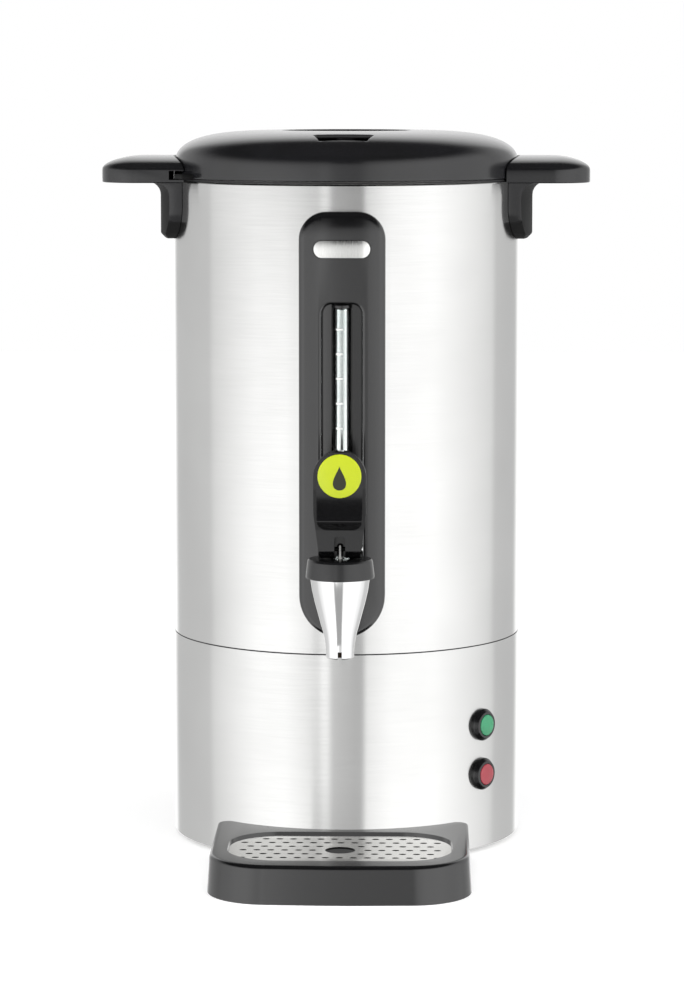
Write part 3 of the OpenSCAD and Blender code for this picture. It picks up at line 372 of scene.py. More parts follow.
# Screen-printed ink: flat and slightly rough.
DARK_INK = Moulding(
    "screen_ink_dark", "#25270f", "#1d1f0c", roughness=0.4,
    grain=0.4, depth=0.004, spread=0.05)
WHITE_INK = Moulding(
    "screen_ink_white", "#f2f2f0", "#e8e8e6", roughness=0.45,
    grain=0.4, depth=0.004, spread=0.05)
# Drawn borosilicate tube: clear, with long faint ripples.
GLASS = Clear(
    "borosilicate_tube_drawn", "#f4f7f6", "#ecf1f0", roughness=0.04,
    ior=1.47, clearness=1.0, ripple=6.0)
# Tinted polycarbonate lamp lenses with a lamp behind them that is off.
GREEN_LENS = Clear(
    "polycarbonate_green", "#2f9d6b", "#23875a", roughness=0.12,
    ior=1.58, clearness=0.25, ripple=1.2)
RED_LENS = Clear(
    "polycarbonate_red", "#b83a48", "#9c2a38", roughness=0.12,
    ior=1.58, clearness=0.25, ripple=1.2)


# Modelling


class Operation(Enum):
    """What a tool does to the piece that it meets."""

    JOIN = "UNION"
    CUT = "DIFFERENCE"
    TRIM = "INTERSECT"


def work_on(piece: Piece) -> None:
    """Leaves edit mode, deselects everything and makes the piece the active one.

    Args:
        piece: The piece to work on.
    """
    if bpy.context.object and bpy.context.object.mode != "OBJECT":
        bpy.ops.object.mode_set(mode="OBJECT")
    bpy.ops.object.select_all(action="DESELECT")
    piece.select_set(True)
    bpy.context.view_layer.objects.active = piece


def edit(piece: Piece) -> None:
    """Makes the piece the active one and opens it in edit mode."""
    work_on(piece)
    bpy.ops.object.mode_set(mode="EDIT")


def start(name: str, points: Sequence[Vector], filled: bool) -> Piece:
    """Adds a circle and draws it out to a closed line of points, all selected and in edit mode.

    Args:
        name: Name of the new piece.
        points: The line's points in the frame, in metres.
        filled: True for a face inside the line.

    Returns:
        The new piece.
    """
    bpy.ops.object.select_all(action="DESELECT")
    bpy.ops.mesh.primitive_circle_add(vertices=len(points), fill_type="NGON" if filled else "NOTHING")
    piece = bpy.context.object
    piece.name = piece.data.name = name
    for vertex, point in zip(piece.data.vertices, points):
        vertex.co = point
    bpy.ops.object.mode_set(mode="EDIT")
    bpy.ops.mesh.select_all(action="SELECT")
    return piece


def close_up() -> None:
    """Merges doubles, turns the faces outwards and leaves edit mode."""
    bpy.ops.mesh.select_all(action="SELECT")
    bpy.ops.mesh.remove_doubles(threshold=1e-6)
    bpy.ops.mesh.normals_make_consistent(inside=False)
    bpy.ops.object.mode_set(mode="OBJECT")


def revolve(name: str, outline: Outline, place: Matrix, steps: int, turn: float = math.tau) -> Piece:
    """Spins an outline about an axis.

    Args:
        name: Name of the new piece.
        outline: (radius, height) of each point, in mm.
        place: Where the axis stands: its Z is the axis.
        steps: Steps of the spin.
        turn: Angle of the spin, anticlockwise from the outline's place.

    Returns:
        The new piece, closed.
    """
    points = [place @ Vector((r * MM, 0, h * MM)) for r, h in outline]
    piece = start(name, points, filled=turn < math.tau)
    axis = place.to_3x3() @ Vector((0, 0, 1))
    bpy.ops.mesh.spin(steps=steps, angle=-turn, center=place.translation, axis=axis)
    close_up()
    return piece


def slab(name: str, outline: Outline, low: float, high: float, place: Matrix) -> Piece:
    """Extrudes an outline into a slab.

    Args:
        name: Name of the new piece.
        outline: (x, y) of each point, in mm.
        low: Height where the slab starts, in mm.
        high: Height where it ends, in mm.
        place: The outline's own frame: its Z is the direction of the extrusion.

    Returns:
        The new piece, closed.
    """
    piece = start(name, [place @ Vector((x * MM, y * MM, low * MM)) for x, y in outline], filled=True)
    along = place.to_3x3() @ Vector((0, 0, (high - low) * MM))
    bpy.ops.mesh.extrude_region_move(TRANSFORM_OT_translate={"value": along})
    close_up()
    return piece


def loft(name: str, rings: Sequence[tuple[Outline, float]], place: Matrix) -> Piece:
    """Raises a closed piece ring by ring.

    Args:
        name: Name of the new piece.
        rings: Outline and height of each ring, in mm, all with as many points.
        place: The rings' own frame.

    Returns:
        The new piece, closed.
    """
    laid = [[place @ Vector((x * MM, y * MM, z * MM)) for x, y in outline] for outline, z in rings]
    piece = start(name, laid[0], filled=True)
    for before, after in zip(laid, laid[1:]):
        rise = after[0].z - before[0].z
        bpy.ops.mesh.extrude_region_move(TRANSFORM_OT_translate={"value": (0, 0, rise)})
        mesh = bmesh.from_edit_mesh(piece.data)
        goal = {(round(old.x, 7), round(old.y, 7)): new for old, new in zip(before, after)}
        for vertex in mesh.verts:
            if vertex.select:
                near = min(goal, key=lambda k: (k[0] - vertex.co.x) ** 2 + (k[1] - vertex.co.y) ** 2)
                vertex.co = goal.pop(near)
        bmesh.update_edit_mesh(piece.data)
    close_up()
    return piece


def slice_up(piece: Piece, normal: Triple, cuts: Iterable[Triple]) -> None:
    """Cuts a piece into strips with parallel planes.

    Args:
        piece: The piece to work on.
        normal: Direction that the planes face.
        cuts: A point on each plane, in metres.
    """
    edit(piece)
    for point in cuts:
        bpy.ops.mesh.select_all(action="SELECT")
        bpy.ops.mesh.bisect(plane_co=point, plane_no=normal)
    bpy.ops.object.mode_set(mode="OBJECT")


def bevel_edges(piece: Piece, width: float, segments: int, wanted: Callable[[Vector, Vector], bool]) -> None:
    """Bevels the edges whose ends the test picks out.

    Args:
        piece: The piece to work on.
        width: Width of the bevel in mm.
        segments: Segments of the bevel.
        wanted: Test on an edge's two ends in the frame, in mm.
    """
    edit(piece)
    bpy.ops.mesh.select_mode(type="EDGE")
    mesh = bmesh.from_edit_mesh(piece.data)
    for edge in mesh.edges:
        edge.select_set(wanted(*[v.co / MM for v in edge.verts]))
    bmesh.update_edit_mesh(piece.data)
    bpy.ops.mesh.bevel(offset=width * MM, segments=segments, affect="EDGES", clamp_overlap=True)
    bpy.ops.object.mode_set(mode="OBJECT")


def apply_modifier(piece: Piece, kind: str, **settings) -> None:
    """Adds a modifier to the piece and applies it.

    Args:
        piece: The piece to work on.
        kind: Blender's name of the modifier type.
        settings: The modifier's own properties.
    """
    work_on(piece)
    modifier = piece.modifiers.new(kind.lower(), kind)
    for key, value in settings.items():
        setattr(modifier, key, value)
    bpy.ops.object.modifier_apply(modifier=modifier.name)


def round_edges(piece: Piece, width: float, angle: float, segments: int, **settings) -> None:
    """Rounds all edges of a piece that are sharper than an angle.

    Args:
        piece: The piece to work on.
        width: Width of the round in mm.
        angle: Edges sharper than this, in degrees, are rounded.
        segments: Segments of the round.
        settings: More properties of the Bevel modifier.
    """
    apply_modifier(piece, "BEVEL", width=width * MM, segments=segments, limit_method="ANGLE",
                   angle_limit=math.radians(angle), **settings)


def combine(piece: Piece, tool: Piece, operation: Operation) -> None:
    """Joins the tool to the piece, or cuts or trims the piece with it, and removes the tool."""
    apply_modifier(piece, "BOOLEAN", object=tool, operation=operation.value, solver="EXACT")
    bpy.data.objects.remove(tool)


def gather(pieces: Sequence[Piece]) -> Piece:
    """Makes one piece of several.

    Args:
        pieces: The pieces, of which the first keeps its name.

    Returns:
        The first piece, with the meshes of all.
    """
    work_on(pieces[0])
    for piece in pieces:
        piece.select_set(True)
    bpy.ops.object.join()
    return pieces[0]


def smooth(piece: Piece, angle: float) -> None:
    """Shades the piece smooth across edges below an angle in degrees."""
    work_on(piece)
    bpy.ops.object.shade_smooth_by_angle(angle=math.radians(angle))


def fillet(corners: Sequence[Corner], steps: int = 6) -> Outline:
    """Rounds the corners of a closed outline.

    Args:
        corners: (x, y, radius) of each corner, in mm.
        steps: Segments on each round corner.

    Returns:
        The outline's points, in mm.
    """
    most = 0.499  # share of a side that a corner's round may take up
    points: Outline = []
    for i, (x, y, radius) in enumerate(corners):
        here = Vector((x, y))
        before = Vector(corners[i - 1][:2]) - here
        after = Vector(corners[(i + 1) % len(corners)][:2]) - here
        if radius <= 0:
            points.append((x, y))
            continue
        half = before.angle(after) / 2
        reach = min(radius / math.tan(half), most * before.length, most * after.length)
        before.normalize()
        after.normalize()
        centre = here + (before + after).normalized() * (reach / math.cos(half))
        first = here + before * reach - centre
        last = here + after * reach - centre
        sweep = math.atan2(first.x * last.y - first.y * last.x, first.dot(last))
        for k in range(steps + 1):
            c, s = math.cos(sweep * k / steps), math.sin(sweep * k / steps)
            points.append((centre.x + first.x * c - first.y * s, centre.y + first.x * s + first.y * c))
    return points


def oblong(x: Span, y: Span, corner: float = 0.0, steps: int = 6) -> Outline:
    """Draws an oblong with four like corners.

    Args:
        x: Its left and right sides, in mm.
        y: Its lower and upper sides, in mm.
        corner: Radius of its corners, in mm.
        steps: Segments on each round corner.

    Returns:
        The outline's points, in mm.
    """
    (left, right), (low, high) = x, y
    places = ((left, low), (right, low), (right, high), (left, high))
    return fillet([(*place, corner) for place in places], steps)


def quarter(count: int) -> list[float]:
    """Returns the angles from 0 to a quarter turn in a number of steps."""
    return [math.pi / 2 * i / count for i in range(count + 1)]


def whole(count: int) -> list[float]:
    """Returns the angles of a full turn in a number of steps."""
    return [math.tau * i / count for i in range(count)]


def upright(reach: float = 0.0) -> Matrix:
    """Returns an upright axis at a distance in front of the tank's own, in mm."""
    return Matrix.Translation((0, (AXIS_Y - reach) * MM, 0))


def outward(turn: float, height: float) -> Matrix:
    """Finds a level axis that leaves the tank's own.

    Args:
        turn: Its direction, in degrees from the front to the right.
        height: Its height in mm.

    Returns:
        The axis, as the Z of its own frame, with Y upwards.
    """
    way = Vector((math.sin(math.radians(turn)), -math.cos(math.radians(turn)), 0))
    flat = Matrix((way.cross((0, 0, 1)) * -1, (0, 0, 1), way)).transposed().to_4x4()
    return Matrix.Translation((0, AXIS_Y * MM, height * MM)) @ flat


def turned(place: Matrix, turn: float) -> Matrix:
    """Returns a frame turned about its own Z by an angle in degrees."""
    return place @ Matrix.Rotation(math.radians(turn), 4, "Z")


def radius_of(point: Vector) -> float:
    """Returns a point's distance from the tank's axis in mm."""
    return math.hypot(point.x / MM, point.y / MM - AXIS_Y)


def dress(piece: Piece, finish: Finish, body: str, slot: str, *nodes: str, angle: float = BLUNT) -> None:
    """Shades a new piece, gives it its finish, its body and the CAD nodes that it stands for, and reports it.

    Args:
        piece: The finished mesh.
        finish: Its surface.
        body: The CAD body that it moves with.
        slot: The record's material slot; not used.
        nodes: CAD nodes that it replaces.
        angle: Edges blunter than this, in degrees, are shaded smooth; 0 keeps the shading that is there.
    """
    if angle:
        smooth(piece, angle)
    piece.data.materials.clear()
    piece.data.materials.append(finish.material())
    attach(piece, body)
    if nodes:
        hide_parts(*nodes)
    LOG.info("%s: %d faces, %s, on %s", piece.name, len(piece.data.polygons), finish.name, body)


def line(piece: Piece, finish: Finish, chosen: Callable[[Face], bool]) -> None:
    """Gives some faces of a dressed piece a second finish.

    Args:
        piece: The dressed piece.
        finish: The second finish.
        chosen: Test on a face.
    """
    piece.data.materials.append(finish.material())
    for face in piece.data.polygons:
        if chosen(face):
            face.material_index = 1


# Sub-assemblies, with lengths in mm and angles in degrees


@dataclass
class Vessel:
    """The steel tank and the base under it."""

    tank_r: float = 109.5
    shell_r: float = 110.0
    wall: float = 1.2
    seam: Span = (129.8, 130.2)
    rim_z: float = 415.0
    rim_in: float = 103.5
    rim_round: float = 1.1
    fold: float = 0.3
    floor_z: float = 140.0
    floor_round: float = 4.0
    well_r: float = 32.2
    well_z: float = 131.0
    well_round: float = 2.0
    pickled_drop: float = 0.5
    foot_z: float = 2.5
    plate_z: float = 5.5
    lip_in: float = 101.8
    lip_round: float = 1.5
    edge: float = 0.25
    inlet_z: float = 36.0
    inlet_half: Span = (14.2, 10.1)
    inlet_cut: Span = (98.0, 115.0)
    steps: int = 256

    def build(self) -> None:
        """Makes the tank, then the base."""
        self.tank()
        self.base()

    def tank(self) -> None:
        """Spins the tank with its turned-in rim, its floor and the well in the floor."""
        r, t, rim, floor = self.tank_r, self.wall, self.rim_z, self.floor_z
        well, bottom, low, fold = self.well_r, self.well_z, self.seam[1], self.fold
        outline = fillet([
            (r, low, self.edge), (r, rim, self.rim_round), (self.rim_in, rim, fold),
            (self.rim_in, rim - t, fold), (r - t, rim - t, fold), (r - t, floor + t, self.floor_round),
            (well - t, floor + t, self.well_round), (well - t, bottom + t, self.well_round),
            (0, bottom + t, 0), (0, bottom, 0), (well, bottom, 2.5), (well, floor, 1.0), (r - t, floor, 2.0),
            (r - t, low, self.edge)])
        piece = revolve("tank_sheet", outline, upright(), self.steps)
        dress(piece, BRUSHED_STEEL, "urn", "steel", "tank")
        line(piece, PICKLED_STEEL, lambda face: (
            radius_of(face.center) < r - t / 2 and face.center.z / MM < rim - self.pickled_drop))

    def base(self) -> None:
        """Spins the base shell with the lip that the bottom plate hangs from, and cuts the inlet's window."""
        r, t, low, fold, inner = self.shell_r, self.wall, self.plate_z, self.fold, self.lip_in
        outline = fillet([
            (r, self.foot_z, self.edge), (r, self.seam[0], self.edge), (r - t, self.seam[0], self.edge),
            (r - t, low + t, self.lip_round), (inner, low + t, fold), (inner, low, fold), (r - t, low, fold),
            (r - t, self.foot_z, self.edge)])
        piece = revolve("base_sheet", outline, upright(), self.steps)
        w, h = self.inlet_half
        window = slab("inlet_window", oblong((-w, w), (-h, h)), *self.inlet_cut, outward(180, self.inlet_z))
        combine(piece, window, Operation.CUT)
        dress(piece, BRUSHED_STEEL, "urn", "steel", "base_shell")


@dataclass
class Lid:
    """The moulded lid with its grip pocket, vent scoop and two lock tabs."""

    radius: float = 108.0
    low_z: float = 416.6
    low_round: float = 0.8
    skirt_z: float = 424.0
    dome_h: float = 22.1
    dome_steps: int = 40
    fullness: float = 2.8
    wall: float = 2.4
    steps: int = 256
    pocket_r: float = 41.0
    pocket_depth: float = 10.0
    pocket_round: Span = (0.35, 2.0)
    pocket_skin: Span = (0.1, 0.4)
    bar_w: float = 18.0
    bar_drop: float = 2.5
    bar_sunk: float = 0.8
    bar_corner: float = 1.0
    bar_edge: float = 2.5
    vent: Span = (77.5, 94.0)
    vent_half: Span = (19.0, 14.4)
    vent_corner: float = 2.0
    vent_depth: float = 4.6
    vent_cut: float = 20.0
    vent_edge: float = 0.7
    vent_skin: float = 0.2
    tab_turn: float = 24.5
    tab_span: float = 6.0
    tab_r: Span = (106.5, 116.0)
    tab_z: Span = (416.8, 419.8)
    tab_round: float = 1.1
    tab_skin: float = 0.3

    def build(self) -> None:
        """Spins the cover, adds the bar and the tabs, and cuts the scoop."""
        r, pocket_r, t, low = self.radius, self.pocket_r, self.wall, self.low_z
        top = self.skirt_z + self.dome_h
        floor = top - self.pocket_depth
        upper, lower = self.pocket_round
        # The points that are dropped only give the corners beside them their directions.
        edge = fillet([(r - 6, low, 0), (r, low, self.low_round), (r, self.skirt_z, 0)])[1:-1]
        pocket = fillet([(pocket_r + 8, top, 0), (pocket_r, top, upper), (pocket_r, floor, lower),
                         (0, floor, 0)])[1:]
        inner = self.arch(r - t, pocket_r + t, self.dome_h - t)
        outline = (edge + self.arch(r, pocket_r, self.dome_h)[:-1] + pocket
                   + [(0, floor - t), (pocket_r + t, floor - t)] + inner[::-1] + [(r - t, low)])
        piece = revolve("lid_moulding", outline, upright(), self.steps)
        self.bar(piece, floor, top - self.bar_drop)
        self.tabs(piece)
        self.scoop(piece)
        dress(piece, PLASTIC, "lid", "plastic", "lid_cover", angle=32.0)
        # The pocket's inside and the tabs under the handles take the rough plastic, whose darker colour is
        # painted shade.
        beside, below = self.pocket_skin
        line(piece, ROUGH_PLASTIC, lambda face: (
            radius_of(face.center) < pocket_r + beside and face.center.z / MM < top - below
            or radius_of(face.center) > r + self.tab_skin))

    def rise(self, radius: float) -> float:
        """Returns the dome's height above its foot at a radius."""
        run = min(max((radius - self.pocket_r) / (self.radius - self.pocket_r), 0.0), 1.0)
        return self.dome_h * (1 - run ** self.fullness) ** (1 / self.fullness)

    def arch(self, low_r: float, high_r: float, height: float) -> Outline:
        """Draws the dome's line from its foot to the pocket.

        Args:
            low_r: Radius at the foot.
            high_r: Radius at the pocket.
            height: Height above the foot.

        Returns:
            The line's points.
        """
        power = 2 / self.fullness
        return [(high_r + (low_r - high_r) * max(math.cos(a), 0) ** power,
                 self.skirt_z + height * math.sin(a) ** power) for a in quarter(self.dome_steps)]

    def bar(self, piece: Piece, floor: float, top: float) -> None:
        """Joins the grip bar across the pocket to the cover.

        Args:
            piece: The cover.
            floor: Height of the pocket's floor.
            top: Height of the bar's top.
        """
        half, reach = self.bar_w / 2, self.pocket_r + self.bar_sunk
        outline = oblong((-reach, reach), (-half, half), self.bar_corner, steps=3)
        bar = slab("grip_bar", outline, floor - self.bar_sunk, top, upright())
        bevel_edges(bar, self.bar_edge, 4, lambda a, b: min(a.z, b.z) > top - TOUCH)
        combine(piece, bar, Operation.JOIN)

    def tabs(self, piece: Piece) -> None:
        """Joins the two lock tabs to the cover's skirt.

        Args:
            piece: The cover.
        """
        outline = oblong(self.tab_r, self.tab_z)
        for turn in (self.tab_turn, self.tab_turn + 180):
            place, sweep = turned(upright(), turn), math.radians(self.tab_span)
            tab = revolve("lock_tab", outline, place, steps=6, turn=sweep)
            round_edges(tab, self.tab_round, angle=60, segments=4)
            combine(piece, tab, Operation.JOIN)

    def scoop(self, piece: Piece) -> None:
        """Cuts the vent scoop into the front slope and softens its upper edge.

        Args:
            piece: The cover.
        """
        (back, front), (wide, narrow), corner = self.vent, self.vent_half, self.vent_corner
        floor = self.skirt_z + self.rise(back) - self.vent_depth
        outline = fillet([(-narrow, -front, 0), (narrow, -front, 0), (wide, -back, corner),
                          (-wide, -back, corner)], steps=4)
        combine(piece, slab("scoop", outline, floor, floor + self.vent_cut, upright()), Operation.CUT)
        sides = list(zip(outline, outline[1:] + outline[:1]))

        def on_wall(point: Vector) -> bool:
            """Tells whether a point lies on the cut's wall, above its floor.

            Args:
                point: The point, in mm.

            Returns:
                True on the wall.
            """
            flat = Vector((point.x, point.y - AXIS_Y))
            near = [intersect_point_line(flat, Vector(a), Vector(b)) for a, b in sides]
            return point.z > floor + self.vent_skin and any(
                (flat - at).length < 2 * TOUCH and -TOUCH < part < 1 + TOUCH for at, part in near)

        bevel_edges(piece, self.vent_edge, 3, lambda a, b: (
            on_wall(a) and on_wall(b) and (a - b).xy.length > TOUCH))


@dataclass
class Handles:
    """The two side handles with the slots that lock the lid."""

    end: float = 152.3
    half: float = 44.0
    corner: float = 24.0
    least_corner: float = 3.0
    inner: float = 60.0
    low: float = 414.0
    edge_z: float = 422.0
    pillow: Triple = (26.0, 36.0, 8.4)
    rings: int = 14
    round: float = 0.9
    round_rings: int = 4
    lid_r: float = 109.0
    lid_top: float = 470.0
    leg_r: Span = (109.7, 117.0)
    leg_low: float = 379.0
    leg_sweep: float = 54.0
    leg_sunk: float = 3.0
    leg_edge: float = 1.6
    toe: float = 3.0
    tongue: float = 20.0
    tongue_inset: float = 1.0
    tongue_rise: float = 5.0
    tongue_cut: Span = (80.0, 140.0)
    neck: float = 8.0
    hollow: float = 2.1
    slot_r: Span = (107.0, 117.5)
    slot_z: Span = (416.0, 421.6)
    slot_turn: Span = (4.0, 44.0)
    slot_skin: float = 0.1
    flank_skin: float = 0.3
    leg_skin: float = 0.05
    leg_facing: float = 0.4

    def build(self) -> None:
        """Joins each grip to its leg, clears the lid and cuts the lock slot."""
        ring, clear = oblong(self.slot_r, self.slot_z), oblong((0, self.lid_r), (self.low - 1, self.lid_top))
        first, last = self.slot_turn
        for side, turn in (("right", 0.0), ("left", 180.0)):
            place = turned(upright(), turn)
            piece = self.grip(f"handle_{side}_moulding", place)
            combine(piece, revolve("lid_clearance", clear, upright(), steps=192), Operation.CUT)
            combine(piece, self.leg(place), Operation.JOIN)
            sweep = math.radians(last - first)
            slot = revolve("lock_slot", ring, turned(place, first), steps=24, turn=sweep)
            combine(piece, slot, Operation.CUT)
            dress(piece, PLASTIC, "urn", "plastic", f"handle_{side}", angle=33.0)
            # The slot walls, the leg's flanks and the grip's underside take the rough plastic, whose darker
            # colour is painted shade.
            line(piece, ROUGH_PLASTIC, lambda face: self.in_slot(face) or self.on_leg(face))

    def plan(self, drawn: float, sides: float) -> Outline:
        """Draws the grip's outline.

        Args:
            drawn: How far its end is drawn in.
            sides: How far its sides are drawn in.

        Returns:
            The outline's points.
        """
        w, end = self.half - sides, self.end - drawn
        corner = max(self.corner - (drawn + sides) / 2, self.least_corner)
        inner = self.inner
        return fillet([(inner, -w, 0), (end, -w, corner), (end, w, corner), (inner, w, 0)], steps=14)

    def grip(self, name: str, place: Matrix) -> Piece:
        """Raises the grip's edge band and, above a soft edge, its pillow.

        Args:
            name: Name of the new piece.
            place: The handle's own frame: its X points outwards.

        Returns:
            The grip.
        """
        end_run, side_run, rise = self.pillow
        rings = []
        for a in quarter(self.round_rings):
            drawn = self.round * (1 - math.sin(a))
            rings.append((self.plan(drawn, drawn), self.low + self.round * (1 - math.cos(a))))
        for a in quarter(self.rings):
            part = 1 - math.cos(a)
            rings.append((self.plan(end_run * part, side_run * part), self.edge_z + rise * math.sin(a)))
        return loft(name, rings, place)

    def leg(self, place: Matrix) -> Piece:
        """Spins the curved leg with the hollow under the grip, and cuts its foot to a tongue.

        Args:
            place: The handle's own frame: its X points outwards.

        Returns:
            The leg.
        """
        (near, far), low, top, toe = self.leg_r, self.leg_low, self.low, self.toe
        under = far + self.hollow * self.neck
        outline = fillet([
            (near, low, 0), (far - toe, low, 1.5), (far, low + toe, 2), (far, top, self.neck),
            (under, top, 0), (under, top + self.leg_sunk, 0), (near, top + self.leg_sunk, 0)])
        sweep, w = self.leg_sweep, self.half - self.tongue_inset
        leg = revolve("handle_leg", outline, turned(place, -sweep / 2), steps=48, turn=math.radians(sweep))
        high, corner = top + self.tongue_rise, self.tongue
        shape = fillet([(-w, low, corner), (w, low, corner), (w, high, 0), (-w, high, 0)], steps=10)
        side = place @ Matrix(((0, 0, 1, 0), (1, 0, 0, 0), (0, 1, 0, 0), (0, 0, 0, 1)))
        combine(leg, slab("tongue", shape, *self.tongue_cut, side), Operation.TRIM)
        round_edges(leg, self.leg_edge, angle=50, segments=4)
        return leg

    def in_slot(self, face: Face) -> bool:
        """Tells whether a face is a wall of the lock slot.

        Args:
            face: A face of the handle.

        Returns:
            True in the slot.
        """
        skin, (low, high), far = self.slot_skin, self.slot_z, self.slot_r[1]
        return (self.lid_r - skin < radius_of(face.center) < far + skin
                and low - skin < face.center.z / MM < high + skin
                and abs(face.center.y / MM - AXIS_Y) < self.half - self.flank_skin)

    def on_leg(self, face: Face) -> bool:
        """Tells whether a face is on a flank of the leg or under the grip."""
        below = face.center.z / MM < self.low - self.leg_skin
        return below and abs(face.normal.x) - face.normal.z > self.leg_facing


@dataclass
class FrontPanel:
    """The long front panel, its bare plate and the sight gauge."""

    radius: float = 122.0
    back: float = 109.75
    half: float = 26.0
    low: float = 142.0
    high: float = 399.0
    top_corner: float = 16.5
    low_corner: float = 25.5
    edge: float = 3.2
    cut: float = 131.0
    strips: int = 26
    slot_half: float = 12.0
    slot_low: float = 183.15
    slot_high: float = 344.0
    slot_corner: Span = (3.0, 6.0)
    slot_floor: float = 117.3
    slot_edge: float = 3.0
    groove_half: float = 6.3
    groove_floor: float = 110.7
    groove_gap: float = 0.1
    lean: Span = (15.0, 2.4)
    lean_strips: int = 8
    lean_skin: float = 2.0
    plate_z: float = 377.0
    plate_half: Span = (17.0, 5.35)
    plate_r: Span = (121.1, 122.4)
    plate_edge: float = 0.35
    plate_gap: float = 0.45
    plate_flat: float = 0.1
    plate_floor: float = 121.0
    plate_strips: int = 16
    glass_reach: float = 116.3
    glass_r: float = 5.5
    glass_wall: float = 1.4
    glass_z: Span = (186.15, 341.45)
    glass_round: float = 0.4
    cap_r: float = 5.9
    cap_gap: float = 0.1
    cap_round: Span = (0.3, 0.8)
    rod_r: float = 4.0
    rod_round: float = 0.5
    rod_gap: Span = (2.0, 0.6)
    marks: tuple[float, ...] = (329.0, 314.25, 299.5, 284.5, 269.5)
    mark_half: float = 0.5
    mark_r: Span = (5.52, 5.6)
    mark_round: float = 0.03
    mark_turn: Span = (-128.0, 43.0)

    def build(self) -> None:
        """Makes the panel, then what it carries."""
        for make in (self.panel, self.plate, self.glass, self.cap, self.rod, self.scale):
            make()

    def bow(self, piece: Piece, strips: int) -> None:
        """Cuts a flat piece into upright strips and bends it round the tank.

        Args:
            piece: The flat piece.
            strips: Number of strips.
        """
        half = max(abs(v.co.x) for v in piece.data.vertices)
        slice_up(piece, (1, 0, 0), [(half * (2 * i / strips - 1), 0, 0) for i in range(1, strips)])
        r = self.radius * MM
        for vertex in piece.data.vertices:
            vertex.co.y += r - math.sqrt(r ** 2 - vertex.co.x ** 2)

    def lean_back(self, piece: Piece) -> None:
        """Cuts the panel's top into level strips and leans its face back towards the tank.

        Args:
            piece: The flat panel.
        """
        (run, fall), count = self.lean, self.lean_strips
        slice_up(piece, (0, 0, 1), [(0, 0, (self.high - run + i * run / count) * MM) for i in range(count)])
        for vertex in piece.data.vertices:
            part = (vertex.co.z / MM - self.high + run) / run
            if part > 0 and vertex.co.y / MM < AXIS_Y - self.back - self.lean_skin:
                vertex.co.y += fall * part ** 2 * MM

    def sink(self, piece: Piece, name: str, outline: Outline, floor: float) -> None:
        """Sinks a pocket of an outline into the flat panel, down to a floor."""
        combine(piece, slab(name, outline, floor, self.cut, outward(0, 0)), Operation.CUT)

    def plate_line(self, gap: float) -> Outline:
        """Returns the plate's outline, let out by a gap."""
        w, h = [v + gap for v in self.plate_half]
        return oblong((-w, w), (self.plate_z - h, self.plate_z + h), h - self.plate_flat, steps=10)

    def panel(self) -> None:
        """Extrudes the panel, sinks the gauge's slot, rounds the edges and bends it round the tank."""
        front = AXIS_Y - self.radius
        half, foot, top = self.half, self.low_corner, self.top_corner
        outline = fillet([(-half, self.low, foot), (half, self.low, foot), (half, self.high, top),
                          (-half, self.high, top)], steps=12)
        piece = slab("panel_moulding", outline, self.back, self.radius, outward(0, 0))
        bevel_edges(piece, self.edge, 6, lambda a, b: max(a.y, b.y) < front + TOUCH)
        w, low, high, (lower, upper) = self.slot_half, self.slot_low, self.slot_high, self.slot_corner
        slot = fillet([(-w, low, lower), (w, low, lower), (w, high, upper), (-w, high, upper)], steps=8)
        self.sink(piece, "slot", slot, self.slot_floor)
        bevel_edges(piece, self.slot_edge, 6, lambda a, b: (
            max(a.y, b.y) < front + TOUCH and max(abs(a.x), abs(b.x)) < w + TOUCH
            and low - TOUCH < min(a.z, b.z) and max(a.z, b.z) < high + TOUCH))
        g, gap = self.groove_half, self.groove_gap
        groove = oblong((-g, g), (low + gap, high - gap))
        self.sink(piece, "groove", groove, self.groove_floor)
        self.sink(piece, "plate_pocket", self.plate_line(self.plate_gap), self.plate_floor)
        self.lean_back(piece)
        self.bow(piece, self.strips)
        dress(piece, GLOSS_PLASTIC, "urn", "plastic", "front_panel", angle=38.0)

    def plate(self) -> None:
        """Extrudes the bare plate and bends it to the panel."""
        piece = slab("panel_plate", self.plate_line(0.0), *self.plate_r, outward(0, 0))
        front = AXIS_Y - self.plate_r[1]
        bevel_edges(piece, self.plate_edge, 2, lambda a, b: max(a.y, b.y) < front + TOUCH)
        self.bow(piece, self.plate_strips)
        dress(piece, PLATE_ALUMINIUM, "urn", "polished", "badge_plate")

    def glass(self) -> None:
        """Spins the sight glass."""
        r, (low, high), soft = self.glass_r, self.glass_z, self.glass_round
        inner = r - self.glass_wall
        outline = fillet([(r, low, soft), (r, high, soft), (inner, high, soft), (inner, low, soft)], steps=3)
        piece = revolve("gauge_tube", outline, upright(self.glass_reach), steps=64)
        dress(piece, GLASS, "urn", "glass", "sight_glass")

    def cap(self) -> None:
        """Spins the low cap that closes the glass at the slot's upper end."""
        low, high = self.glass_z[1] + self.cap_gap, self.slot_high - self.cap_gap
        r, (lower, upper) = self.cap_r, self.cap_round
        outline = fillet([(0, low, 0), (r, low, lower), (r, high, upper), (0, high, 0)], steps=4)
        piece = revolve("gauge_cap_moulding", outline, upright(self.glass_reach), steps=48)
        dress(piece, SMOOTH_PLASTIC, "urn", "plastic", "gauge_cap")

    def rod(self) -> None:
        """Spins the polished rod behind the liquid, which makes the tube look bright."""
        r, soft, (low, high) = self.rod_r, self.rod_round, self.glass_z
        low, high = low + self.rod_gap[0], high - self.rod_gap[1]
        outline = fillet([(0, low, 0), (r, low, soft), (r, high, soft), (0, high, 0)], steps=4)
        piece = revolve("gauge_rod", outline, upright(self.glass_reach), steps=48)
        dress(piece, CHROME, "urn", "polished")

